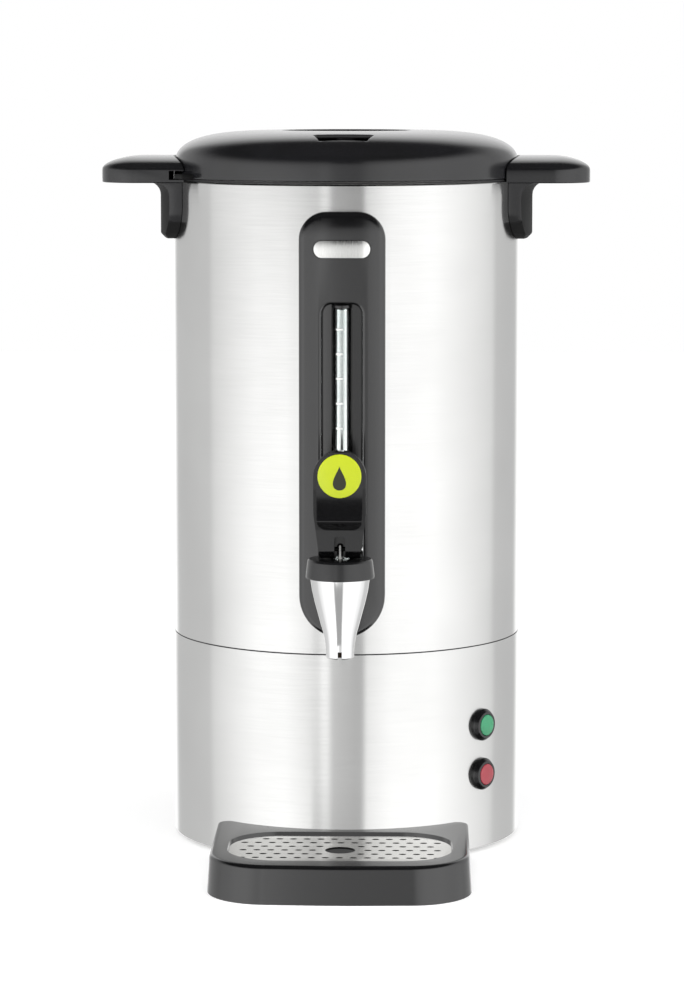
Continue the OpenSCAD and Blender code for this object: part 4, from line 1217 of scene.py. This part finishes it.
    def scale(self) -> None:
        """Prints five short marks on the glass."""
        (near, far), half, soft = self.mark_r, self.mark_half, self.mark_round
        first, span = self.mark_turn
        place = turned(upright(self.glass_reach), first)
        marks = []
        for z in self.marks:
            outline = fillet([(near, z - half, 0), (far, z - half, soft), (far, z + half, soft),
                              (near, z + half, 0)], steps=2)
            marks.append(revolve("gauge_marks", outline, place, steps=10, turn=math.radians(span)))
        dress(gather(marks), WHITE_INK, "urn", "plastic")


@dataclass
class Tap:
    """The spring tap: chromed body, bonnet, coil spring, lever and its round badge."""

    reach: float = 162.0
    # Profiles of the turned pieces: radius, height and radius of the corner.
    lip_line: tuple[Corner, ...] = ((5.5, 137, 0.7), (8.3, 137, 1.0), (8.35, 141, 0))
    waist: tuple[Span, ...] = (
        (8.6, 145), (9.3, 149), (10.2, 153), (11.4, 157), (13.3, 164), (15.15, 170.7), (16.75, 178),
        (17.75, 185))
    inside_line: tuple[Corner, ...] = (
        (17.75, 185, 0), (10, 185, 0.3), (10, 157, 1.5), (5.5, 157, 0.6), (5.5, 137, 0))
    lip_slot: tuple[Span, Span] = ((-1.2, 1.2), (-20, 0))
    lip_slot_z: Span = (136.0, 141.5)
    bore_r: Span = (5.1, 5.45)
    bore_z: Span = (137.8, 156.5)
    shank_z: float = 168.0
    shank_line: tuple[Corner, ...] = (
        (0, 93, 0), (8, 93, 0.6), (8, 119, 0), (15, 119, 0), (15, 125, 0.8), (11, 125, 0.8), (11, 150.5, 0),
        (0, 150.5, 0))
    bonnet_line: tuple[Corner, ...] = (
        (2.55, 196.4, 0.3), (18.6, 196.4, 0.8), (19.3, 195.1, 0.8), (20.4, 186, 0.5), (20.2, 185, 0.4),
        (9.95, 185, 0), (9.95, 180, 0.3), (6.4, 180, 0.3), (6.4, 192.4, 0.3), (2.55, 192.4, 0.3))
    spring_z: Span = (163.3, 192.4)
    spring_r: float = 4.4
    wire_r: float = 0.6
    wire_sides: int = 12
    turns: int = 6
    turn_steps: int = 36
    lift: float = 5.0
    stem_line: tuple[Corner, ...] = (
        (0, 157.4, 0), (2.5, 157.4, 0.3), (2.5, 190.4, 0.3), (1.6, 191.3, 0.3), (1.6, 204.7, 0.6),
        (0, 204.7, 0))
    pin_z: float = 202.0
    pin_line: tuple[Corner, ...] = ((0, 11.8, 0), (1.6, 11.8, 0.2), (1.6, 13.4, 0.5), (0, 13.6, 0))
    # The lever and its pad from the side: distance from the tank's axis, height, radius of the corner.
    lever_side: tuple[Corner, ...] = (
        (164.5, 197.0, 2.0), (158.0, 197.0, 3.0), (154.5, 202.0, 3.0), (156.5, 210.0, 6.0),
        (165.5, 224.0, 14.0), (166.6, 262.0, 2.0), (175.8, 262.0, 1.6), (175.8, 240.0, 12.0),
        (171.0, 214.0, 8.0), (171.0, 201.5, 1.5), (167.5, 198.0, 2.0))
    pad_side: tuple[Corner, ...] = (
        (168.5, 214.2, 0), (168.5, 261.0, 0), (176.6, 261.0, 1.2), (177.0, 233.0, 30.0), (182.4, 220.9, 0.9),
        (181.4, 219.2, 0.9), (171.0, 214.2, 1.2))
    lever_top: float = 261.5
    lever_half: float = 15.5
    lever_foot: float = 12.3
    # Heights of the lever's front view: below its foot, where it widens, and its shoulder.
    lever_z: Triple = (190.0, 199.0, 224.0)
    lever_shoulder: float = 6.0
    lever_crown: float = 0.2
    lever_edge: float = 0.8
    lever_wide: Span = (-20.0, 20.0)
    lever_deep: Span = (140.0, 200.0)
    # The slots for the stem: half width, top, and how deep they run.
    stem_slots: tuple[tuple[float, float, Span], ...] = (
        (3.25, 210.5, (161.6, 200)), (2.0, 205.4, (158.5, 162)))
    slot_low: float = 180.0
    slot_corner: float = 1.6
    pad_inset: float = 1.9
    pad_z: Span = (214.0, 240.0)
    pad_taper: float = 0.5
    pad_corner: float = 7.0
    disc_z: float = 246.95
    disc_line: tuple[Corner, ...] = (
        (0, 176.6, 0), (12.85, 176.6, 0), (12.85, 177.7, 0.5), (6.425, 178.0, 40), (0, 178.05, 0))
    drop_z: float = 245.75
    drop_half: Span = (5.6, 7.0)
    drop_point: float = 1.6
    drop_out: Span = (177.5, 178.12)
    drop_edge: float = 0.05
    drop_steps: int = 48

    def build(self) -> None:
        """Makes the tap's pieces, from the spout to the badge."""
        for make in (self.spout, self.shank, self.bore, self.bonnet, self.spring, self.stem, self.lever,
                     self.pin_head, self.badge, self.motif):
            make()

    def spout(self) -> None:
        """Spins the waisted cone and cuts the slot in its lip."""
        outline = [*fillet(self.lip_line), *self.waist, *fillet(self.inside_line)[1:-1]]
        piece = revolve("tap_casting", outline, upright(self.reach), steps=96)
        slot = slab("lip_slot", oblong(*self.lip_slot), *self.lip_slot_z, upright(self.reach))
        combine(piece, slot, Operation.CUT)
        dress(piece, CHROME, "urn", "polished", "tap_body", angle=40.0)

    def shank(self) -> None:
        """Spins the shank with its flange, from inside the tank to the cone."""
        piece = revolve("tap_shank", fillet(self.shank_line), outward(0, self.shank_z), steps=64)
        dress(piece, SMOOTH_PLASTIC, "urn", "plastic")

    def bore(self) -> None:
        """Spins a dark skin in the spout's bore: painted shade."""
        piece = revolve("tap_bore", oblong(self.bore_r, self.bore_z), upright(self.reach), steps=48)
        dress(piece, BORE_BRASS, "urn", "polished")

    def bonnet(self) -> None:
        """Spins the bonnet with the seat of the spring inside it."""
        outline = fillet(self.bonnet_line, steps=5)
        piece = revolve("tap_bonnet_moulding", outline, upright(self.reach), steps=96)
        dress(piece, SMOOTH_PLASTIC, "urn", "plastic", "tap_bonnet")

    def spring(self) -> None:
        """Winds a round wire into the spring, which moves with the valve and keeps a mesh of its own."""
        (low, high), r, y = self.spring_z, self.wire_r, (AXIS_Y - self.reach) * MM
        ring = [Vector(((self.spring_r + r * math.cos(a)) * MM, y, (low + r + r * math.sin(a)) * MM))
                for a in whole(self.wire_sides)]
        piece = start("tap_spring_wire", ring, filled=True)
        bpy.ops.object.mode_set(mode="OBJECT")
        pole = bpy.data.objects.new("spring_axis", None)
        bpy.context.scene.collection.objects.link(pole)
        pole.location = (0, y, 0)
        bpy.context.view_layer.update()
        rise = high - low - 2 * r
        apply_modifier(piece, "SCREW", object=pole, axis="Z", angle=math.tau, iterations=self.turns,
                       screw_offset=rise / self.turns * MM, steps=self.turn_steps,
                       render_steps=self.turn_steps, use_merge_vertices=True)
        bpy.data.objects.remove(pole)
        edit(piece)
        close_up()
        dress(piece, INNER_STEEL, "tap_valve", "zinc", "tap_spring")
        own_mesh(piece)

    def stem(self) -> None:
        """Spins the stem, thinner above the bonnet, where the lever's pin crosses it."""
        piece = revolve("tap_stem_turned", fillet(self.stem_line, steps=4), upright(self.reach), steps=48)
        dress(piece, TURNED_STEEL, "tap_valve", "polished", "tap_stem")

    def carve(self, name: str, side: Sequence[Corner], side_steps: int, face: Sequence[Corner]) -> Piece:
        """Extrudes a shape from its side view and trims it to its front view.

        Args:
            name: Name of the new piece.
            side: Corners from the side: distance from the tank's axis, height and radius.
            side_steps: Segments on each round corner of the side view.
            face: Corners from the front: x, height and radius.

        Returns:
            The new piece, closed.
        """
        flat = Matrix(((0, 0, 1, 0), (-1, 0, 0, AXIS_Y * MM), (0, 1, 0, 0), (0, 0, 0, 1)))
        piece = slab(name, fillet(side, side_steps), *self.lever_wide, flat)
        front = slab(f"{name}_front", fillet(face, 12), *self.lever_deep, outward(0, 0))
        combine(piece, front, Operation.TRIM)
        return piece

    def lever(self) -> None:
        """Carves the lever's frame and its thumb pad, cuts the slots for the stem and joins the two."""
        w, foot, top = self.lever_half, self.lever_foot, self.lever_top
        (low, widens, wide), shoulder, crown = self.lever_z, self.lever_shoulder, w - self.lever_crown
        piece = self.carve("lever_moulding", self.lever_side, 6, [
            (-foot, low, 0), (foot, low, 0), (foot, widens, 0), (w, wide, shoulder), (w, top, crown),
            (-w, top, crown), (-w, wide, shoulder), (-foot, widens, 0)])
        low, corner = self.slot_low, self.slot_corner
        for half, slot_top, deep in self.stem_slots:
            slot = fillet([(-half, low, 0), (half, low, 0), (half, slot_top, corner),
                           (-half, slot_top, corner)], steps=5)
            combine(piece, slab("stem_slot", slot, *deep, outward(0, 0)), Operation.CUT)
        w, top, (low, wide), corner = w - self.pad_inset, top - self.pad_inset, self.pad_z, self.pad_corner
        foot, crown = w - self.pad_taper, w - self.lever_crown
        pad = self.carve("thumb_pad", self.pad_side, 10, [
            (-foot, low, corner), (foot, low, corner), (w, wide, 0), (w, top, crown), (-w, top, crown),
            (-w, wide, 0)])
        combine(piece, pad, Operation.JOIN)
        round_edges(piece, self.lever_edge, angle=40, segments=3, miter_outer="MITER_ARC")
        smooth(piece, 40.0)
        apply_modifier(piece, "WEIGHTED_NORMAL", keep_sharp=True, weight=60)
        dress(piece, SMOOTH_PLASTIC, "tap_lever", "plastic", "lever", angle=0.0)

    def pin_head(self) -> None:
        """Spins the low head of the lever's pin, on its right."""
        centre = Matrix.Translation((0, (AXIS_Y - self.reach) * MM, self.pin_z * MM))
        across = centre @ Matrix.Rotation(math.pi / 2, 4, "Y")
        piece = revolve("lever_pin_head", fillet(self.pin_line, steps=4), across, steps=32)
        dress(piece, CHROME, "tap_lever", "polished")

    def badge(self) -> None:
        """Spins the lever's round badge with a low dome."""
        piece = revolve("lever_disc", fillet(self.disc_line), outward(0, self.disc_z), steps=96)
        dress(piece, LIME, "tap_lever", "lime", "lever_badge", angle=50.0)

    def motif(self) -> None:
        """Prints a plain drop on the badge."""
        wide, tall = self.drop_half
        drop = [(wide * math.sin(a) * math.sin(a / 2) ** self.drop_point, self.drop_z + tall * math.cos(a))
                for a in whole(self.drop_steps)]
        piece = slab("lever_disc_drop", drop, *self.drop_out, outward(0, 0))
        front = AXIS_Y - self.drop_out[1]
        bevel_edges(piece, self.drop_edge, 1, lambda a, b: max(a.y, b.y) < front + TOUCH)
        dress(piece, DARK_INK, "tap_lever", "plastic")


@dataclass
class Lamps:
    """The two pilot lamps in the base."""

    turn: float = 51.0
    heights: tuple[tuple[str, float, Finish], ...] = (("green", 80.0, GREEN_LENS), ("red", 49.0, RED_LENS))
    # Profiles of ring and lens: radius, distance from the tank's axis and radius of the corner.
    ring_line: tuple[Corner, ...] = (
        (6.65, 96, 0), (7.7, 96, 0), (7.7, 108, 0), (10, 108, 0), (10, 111.9, 1.2), (8.1, 114.5, 1.2),
        (6.65, 114.5, 0.3))
    lens_line: tuple[Corner, ...] = (
        (0, 107.2, 0), (6.5, 107.2, 0.3), (6.5, 114.7, 0.6), (3.575, 115.5, 12), (0, 115.65, 0))
    steps: int = 72

    def build(self) -> None:
        """Spins a chamfered ring and a domed lens for each lamp."""
        for colour, height, finish in self.heights:
            place = outward(self.turn, height)
            bezel = revolve(f"{colour}_lamp_ring", fillet(self.ring_line, steps=5), place, self.steps)
            dress(bezel, SMOOTH_PLASTIC, "urn", "plastic", f"{colour}_bezel")
            lens = revolve(f"{colour}_lamp_lens", fillet(self.lens_line), place, self.steps)
            dress(lens, finish, "urn", colour, f"{colour}_lens", angle=50.0)


@dataclass
class DripTray:
    """The loose tray in front of the base, and its steel grid."""

    half: float = 78.5
    front: float = 218.0
    corner: float = 40.0
    draft: float = 1.3
    height: float = 22.8
    back_r: float = 111.0
    back_turns: tuple[int, ...] = tuple(range(32, -33, -4))
    ear: float = 11.0
    edge: float = 2.6
    edge_rings: int = 7
    bulge: float = 3.0
    bow: tuple[int, ...] = (-8, 0, 8)
    middle: float = 161.0
    pocket: Triple = (134.0, 79.0, 31.0)
    pocket_gap: float = 0.1
    basin: Triple = (125.0, 70.0, 26.0)
    basin_floor: float = 3.0
    well_cut: float = 20.0
    grid_size: Triple = (133.0, 78.0, 30.5)
    grid_z: Span = (19.1, 20.3)
    grid_edge: float = 0.4
    grid_cut: float = 2.0
    drain_r: float = 9.0
    drain_sides: int = 48
    hole_r: Span = (2.2, 1.6)
    hole_sides: int = 16
    hole_gap: Span = (8.3, 10.2)
    hole_rows: int = 3
    hole_columns: int = 8
    wall_facing: float = 0.5
    wall_margin: float = 1.0

    def build(self) -> None:
        """Makes the tray, then the grid."""
        self.tray()
        self.grid()

    def pan(self, size: Triple) -> Outline:
        """Returns an oblong with round corners, from its width, length and corner."""
        w, d, corner = size[0] / 2, size[1] / 2, size[2]
        return oblong((-w, w), (-d, d), corner, steps=14)

    def plan(self, drawn: float) -> Outline:
        """Draws the tray's outline, with a bowed front and the back curved round the base.

        Args:
            drawn: How far the outline is drawn in.

        Returns:
            The outline's points.
        """
        w, far, corner = self.half - drawn, AXIS_Y - self.front + drawn, self.corner - drawn
        back = self.back_r + drawn
        ear = AXIS_Y - math.sqrt(back ** 2 - w ** 2)
        turns = [math.radians(a) for a in self.back_turns]
        arc = [(back * math.sin(a), AXIS_Y - back * math.cos(a), 0) for a in turns]
        bow = [(x, far + self.bulge * (x / self.half) ** 2, 0) for x in self.bow]
        side = far + self.bulge
        return fillet([(-w, side, corner), *bow, (w, side, corner), (w, ear, self.ear), *arc,
                       (-w, ear, self.ear)], steps=14)

    def tray(self) -> None:
        """Raises the tray from its foot to its drawn-in top, rounds the top ring by ring and hollows it."""
        rings = [(self.plan(0), 0.0)]
        for a in quarter(self.edge_rings):
            drawn = self.draft + self.edge * (1 - math.cos(a))
            rings.append((self.plan(drawn), self.height - self.edge * (1 - math.sin(a))))
        piece = loft("drip_tray_moulding", rings, Matrix.Identity(4))
        for size, floor in ((self.pocket, self.grid_z[0] - self.pocket_gap), (self.basin, self.basin_floor)):
            well = slab("well", self.pan(size), floor, self.height + self.well_cut, upright(self.middle))
            combine(piece, well, Operation.CUT)
        piece.visible_glossy = False
        dress(piece, TRAY_PLASTIC, "tray", "plastic", "drip_tray", angle=33.0)

    def inside(self, x: float, y: float, margin: float) -> bool:
        """Tells whether a place on the grid keeps a margin to its edge.

        Args:
            x: Distance to the right of the grid's middle.
            y: Distance behind it.
            margin: The margin to keep.

        Returns:
            True inside the margin.
        """
        width, length, corner = self.grid_size
        out = Vector((max(0, abs(x) - width / 2 + corner), max(0, abs(y) - length / 2 + corner)))
        return out.length < corner - margin

    def holes(self) -> Piece:
        """Extrudes the drain and the staggered rows of holes as one cutter.

        Returns:
            The cutter.
        """
        (across, along), (wide, deep) = self.hole_gap, self.hole_r
        places = [(0.0, 0.0, self.drain_r, self.drain_r, self.drain_sides)]
        for row in range(-self.hole_rows, self.hole_rows + 1):
            for column in range(-self.hole_columns, self.hole_columns + 1):
                x, y = (column + 0.5 * (row % 2)) * across, row * along
                if math.hypot(x, y) > self.drain_r + 2 * wide and self.inside(x, y, 2 * wide):
                    places.append((x, y, wide, deep, self.hole_sides))
        low, high = self.grid_z
        cutters = []
        for x, y, wide, deep, count in places:
            ring = [(x + wide * math.cos(a), y + deep * math.sin(a)) for a in whole(count)]
            cutters.append(slab("grid_holes", ring, low - self.grid_cut, high + self.grid_cut,
                                upright(self.middle)))
        return gather(cutters)

    def grid(self) -> None:
        """Extrudes the grid, softens its upper edge and cuts the holes, whose walls get painted shade."""
        low, high = self.grid_z
        piece = slab("drip_grid_sheet", self.pan(self.grid_size), low, high, upright(self.middle))
        bevel_edges(piece, self.grid_edge, 3, lambda a, b: min(a.z, b.z) > high - TOUCH)
        combine(piece, self.holes(), Operation.CUT)
        piece.visible_glossy = False
        dress(piece, GRID_STEEL, "tray_grid", "steel", "drip_grid")
        # The hole walls take a near-black finish: painted shade.
        line(piece, PUNCHED_EDGE, lambda face: abs(face.normal.z) < self.wall_facing and self.inside(
            face.center.x / MM, face.center.y / MM - AXIS_Y + self.middle, self.wall_margin))


# Pieces that keep their CAD mesh, by the finish that each carries.
CARRIED: dict[Finish, tuple[str, ...]] = {
    RUBBER: ("joint_ring", "feet", "tap_gaskets"),
    INNER_STEEL: ("bottom_plate", "heating_tube", "lid_liner", "riser", "coffee_basket", "spreader"),
    ZINC: ("tie_studs", "tie_nuts", "inlet_screws", "inlet_pins", "handle_screws", "lid_screws",
           "thermostats"),
    CAST_ALUMINIUM: ("heating_plate", "pump_heater"),
    CERAMIC: ("terminal_block",),
    SMOOTH_PLASTIC: ("power_inlet", "lamp_nuts", "gauge_fitting"),
    CHROME: ("tap_nut",),
    # The pin's near-black finish is painted shade in the lever's slot.
    DARK_STEEL: ("lever_pin",),
    SILICONE: ("valve_cup", "lid_seal"),
}


def carry_over() -> None:
    """Gives each CAD node that stays in view its finish."""
    for finish, nodes in CARRIED.items():
        for node in nodes:
            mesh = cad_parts[node]
            if not mesh.material_slots:
                mesh.data.materials.append(finish.material())
            for place in mesh.material_slots:
                place.material = finish.material()
            LOG.info("%s: CAD mesh, %s", node, finish.name)


# Stage


@dataclass
class Studio:
    """Floor, lights, backdrop and camera, none of which belongs to the urn; in metres but for the camera."""

    camera: Triple = (51.84, -2147.5, 475.98)
    pitch: float = 83.1536
    yaw: float = 1.4256
    lens: float = 125.27
    fill: float = 0.32
    ceiling: float = 0.03
    aim_z: float = 0.25
    # The softboxes: name, place, width and height, power.
    softboxes: tuple[tuple[str, Triple, Span, float], ...] = (
        ("softbox_left", (-2.6, -1.3, 1.3), (2.2, 2.6), 95.0),
        ("softbox_right", (2.7, -1.2, 1.3), (2.2, 2.6), 95.0),
        ("softbox_top", (0.1, -0.4, 2.9), (2.0, 1.6), 26.0))
    floor_half: float = 4.0
    floor_z: float = -0.0002
    paper: tuple[float, float, float, float] = (0.82, 0.82, 0.82, 1)
    paper_roughness: float = 0.9
    paper_glow: float = 0.36
    paper_fade: Span = (0.2, 0.7)
    # The cards that only mirrors see: name, x, y, z, glow.
    cards: tuple[tuple[str, Span, float, Span, float], ...] = (
        ("low_flag", (-0.6, 0.3), -1.5, (-2.4, -0.48), 0.5),
        ("high_flag", (-0.42, 0.66), -3.0, (1.0, 2.8), 0.0))
    tent_r: float = 3.2
    tent_z: Span = (-3.0, 4.3)
    tent_sides: int = 128
    tent_fade: Span = (1.0, 3.0)
    tent_slant: Span = (-0.14, -0.25)
    tent_peak: float = 3.0
    # Brightness of the tent's cloth by the angle from the front to the right: a grey gap behind the camera, a
    # softbox on each side, dark flags behind them, and the white backdrop at the rear.
    cloth: tuple[Span, ...] = (
        (-90, 1.18), (-60, 1.66), (-40, 1.75), (-30, 1.6), (-22, 1.42), (-17, 1.36), (-14.4, 1.74),
        (-11, 1.74), (-8, 1.04), (12.2, 0.76), (14, 1.42), (30, 1.7), (60, 1.7), (113, 1.08), (117, 0.84),
        (150, 0.7), (158, 1.3), (202, 1.3), (210, 0.7), (259, 0.88), (263, 1.08))

    def build(self) -> None:
        """Sets up the whole studio."""
        self.world()
        self.floor()
        self.tent()
        for card in self.cards:
            self.card(*card)
        for softbox in self.softboxes:
            self.lamp(*softbox)
        self.view()

    def world(self) -> None:
        """Sets a white surround for camera and glass, a dim ceiling for mirrors, and a fill for the rest."""
        world = bpy.data.worlds.new("studio_white")
        bpy.context.scene.world = world
        world.use_nodes = True
        tree = world.node_tree
        sky = tree.nodes["Background"]
        path = add_node(tree, "ShaderNodeLightPath", {})
        white = add_node(tree, "ShaderNodeMath", {
            0: path.outputs["Is Camera Ray"], 1: path.outputs["Is Transmission Ray"]}, operation="MAXIMUM")
        dim = add_node(tree, "ShaderNodeMapRange", {
            "Value": path.outputs["Is Glossy Ray"], "To Min": self.fill, "To Max": self.ceiling})
        level = add_node(tree, "ShaderNodeMath", {
            0: dim.outputs["Result"], 1: white.outputs["Value"]}, operation="MAXIMUM")
        tree.links.new(level.outputs["Value"], sky.inputs["Strength"])
        sky.inputs["Color"].default_value = WHITE

    def glow(self, name: str) -> tuple[bpy.types.Material, Node]:
        """Makes a material that only glows.

        Args:
            name: Name of the material.

        Returns:
            The material and its shader.
        """
        paint = bpy.data.materials.new(name)
        paint.use_nodes = True
        shader = paint.node_tree.nodes["Principled BSDF"]
        shader.inputs["Base Color"].default_value = (0, 0, 0, 1)
        shader.inputs["Specular IOR Level"].default_value = 0.0
        return paint, shader

    def hang(self, sheet: Piece, paint: bpy.types.Material) -> None:
        """Gives a sheet its paint and shows it to mirrors and glass only.

        Args:
            sheet: The sheet.
            paint: Its material.
        """
        sheet.data.materials.append(paint)
        sheet.visible_camera = sheet.visible_diffuse = sheet.visible_shadow = False

    def tent(self) -> None:
        """Hangs a round light tent that only mirrors and glass see."""
        low, high = self.tent_z
        ring = [Vector((self.tent_r * math.cos(a), self.tent_r * math.sin(a), low))
                for a in whole(self.tent_sides)]
        wall = start("light_tent", ring, filled=False)
        bpy.ops.mesh.extrude_region_move(TRANSFORM_OT_translate={"value": (0, 0, high - low)})
        bpy.ops.object.mode_set(mode="OBJECT")
        paint, shader = self.glow("light_tent_cloth")
        tree = paint.node_tree
        place = add_node(tree, "ShaderNodeTexCoord", {}).outputs["Object"]
        sweep = add_node(tree, "ShaderNodeTexGradient", {"Vector": place}, gradient_type="RADIAL")
        ramp = add_node(tree, "ShaderNodeValToRGB", {"Fac": sweep.outputs["Fac"]})
        stops = ramp.color_ramp.elements
        for turn, level in self.cloth[1:]:
            grey = level / self.tent_peak
            stops.new((turn + 90) / 360).color = (grey, grey, grey, 1)
        for end in (stops[0], stops[-1]):
            end.color = [self.cloth[0][1] / self.tent_peak] * 3 + [1]
        height = add_node(tree, "ShaderNodeVectorMath", {
            0: place, 1: (*self.tent_slant, 1)}, operation="DOT_PRODUCT")
        fade = add_node(tree, "ShaderNodeMapRange", {
            "Value": height.outputs["Value"], "From Min": self.tent_fade[0], "From Max": self.tent_fade[1],
            "To Min": self.tent_peak, "To Max": 0.0}, interpolation_type="SMOOTHSTEP")
        tree.links.new(ramp.outputs["Color"], shader.inputs["Emission Color"])
        tree.links.new(fade.outputs["Result"], shader.inputs["Emission Strength"])
        self.hang(wall, paint)

    def floor(self) -> None:
        """Lays a pale floor that whitens away from the urn and keeps the contact shadow."""
        bpy.ops.object.select_all(action="DESELECT")
        bpy.ops.mesh.primitive_plane_add(size=2 * self.floor_half, location=(0, 0, self.floor_z))
        plane = bpy.context.object
        plane.name = "studio_floor"
        paper, shader = self.glow("studio_paper")
        tree = paper.node_tree
        shader.inputs["Base Color"].default_value = self.paper
        shader.inputs["Roughness"].default_value = self.paper_roughness
        shader.inputs["Emission Color"].default_value = WHITE
        place = add_node(tree, "ShaderNodeTexCoord", {}).outputs["Object"]
        away = add_node(tree, "ShaderNodeVectorMath", {0: place}, operation="LENGTH")
        fade = add_node(tree, "ShaderNodeMapRange", {
            "Value": away.outputs["Value"], "From Min": self.paper_fade[0], "From Max": self.paper_fade[1],
            "To Min": self.paper_glow, "To Max": 1.0})
        path = add_node(tree, "ShaderNodeLightPath", {})
        seen = add_node(tree, "ShaderNodeMath", {
            0: path.outputs["Is Camera Ray"], 1: fade.outputs["Result"]}, operation="MULTIPLY")
        tree.links.new(seen.outputs["Value"], shader.inputs["Emission Strength"])
        plane.data.materials.append(paper)
        plane.visible_glossy = False

    def card(self, name: str, wide: Span, y: float, tall: Span, glow: float) -> None:
        """Stands a dim card in front that only mirrors and glass see.

        Args:
            name: Name of the card.
            wide: Its left and right sides.
            y: How far it stands behind the frame's origin.
            tall: Its lower and upper sides.
            glow: Its brightness.
        """
        (left, right), (low, high) = wide, tall
        corners = [Vector((x, y, z)) for x, z in ((left, low), (right, low), (right, high), (left, high))]
        card = start(name, corners, filled=True)
        bpy.ops.object.mode_set(mode="OBJECT")
        paint, shader = self.glow(f"{name}_card")
        shader.inputs["Emission Color"].default_value = WHITE
        shader.inputs["Emission Strength"].default_value = glow
        self.hang(card, paint)

    def lamp(self, name: str, at: Triple, size: Span, power: float) -> None:
        """Hangs a rectangular softbox that faces the urn.

        Args:
            name: Name of the lamp.
            at: Its place.
            size: Its width and height.
            power: Its power in watts.
        """
        light = bpy.data.lights.new(name, "AREA")
        light.shape = "RECTANGLE"
        light.size, light.size_y = size
        light.energy = power
        lamp = bpy.data.objects.new(name, light)
        bpy.context.scene.collection.objects.link(lamp)
        lamp.location = at
        aim = Vector((0, AXIS_Y * MM, self.aim_z)) - Vector(at)
        lamp.visible_glossy = False
        lamp.rotation_euler = aim.to_track_quat("-Z", "Y").to_euler()

    def view(self) -> None:
        """Sets the camera at the photograph's angle, and plain colours."""
        scene = bpy.context.scene
        lens = bpy.data.cameras.new("camera")
        lens.lens = self.lens
        camera = bpy.data.objects.new("camera", lens)
        scene.collection.objects.link(camera)
        camera.location = [v * MM for v in self.camera]
        camera.rotation_euler = (math.radians(self.pitch), 0, math.radians(self.yaw))
        scene.camera = camera
        scene.view_settings.view_transform = "Standard"


def main() -> None:
    """Builds the urn's looks in order, then the studio."""
    logging.basicConfig(level=logging.INFO, format="%(name)s %(message)s")
    for assembly in (Vessel(), Lid(), Handles(), FrontPanel(), Tap(), Lamps(), DripTray()):
        assembly.build()
    carry_over()
    Studio().build()


if __name__ == "__main__":
    main()
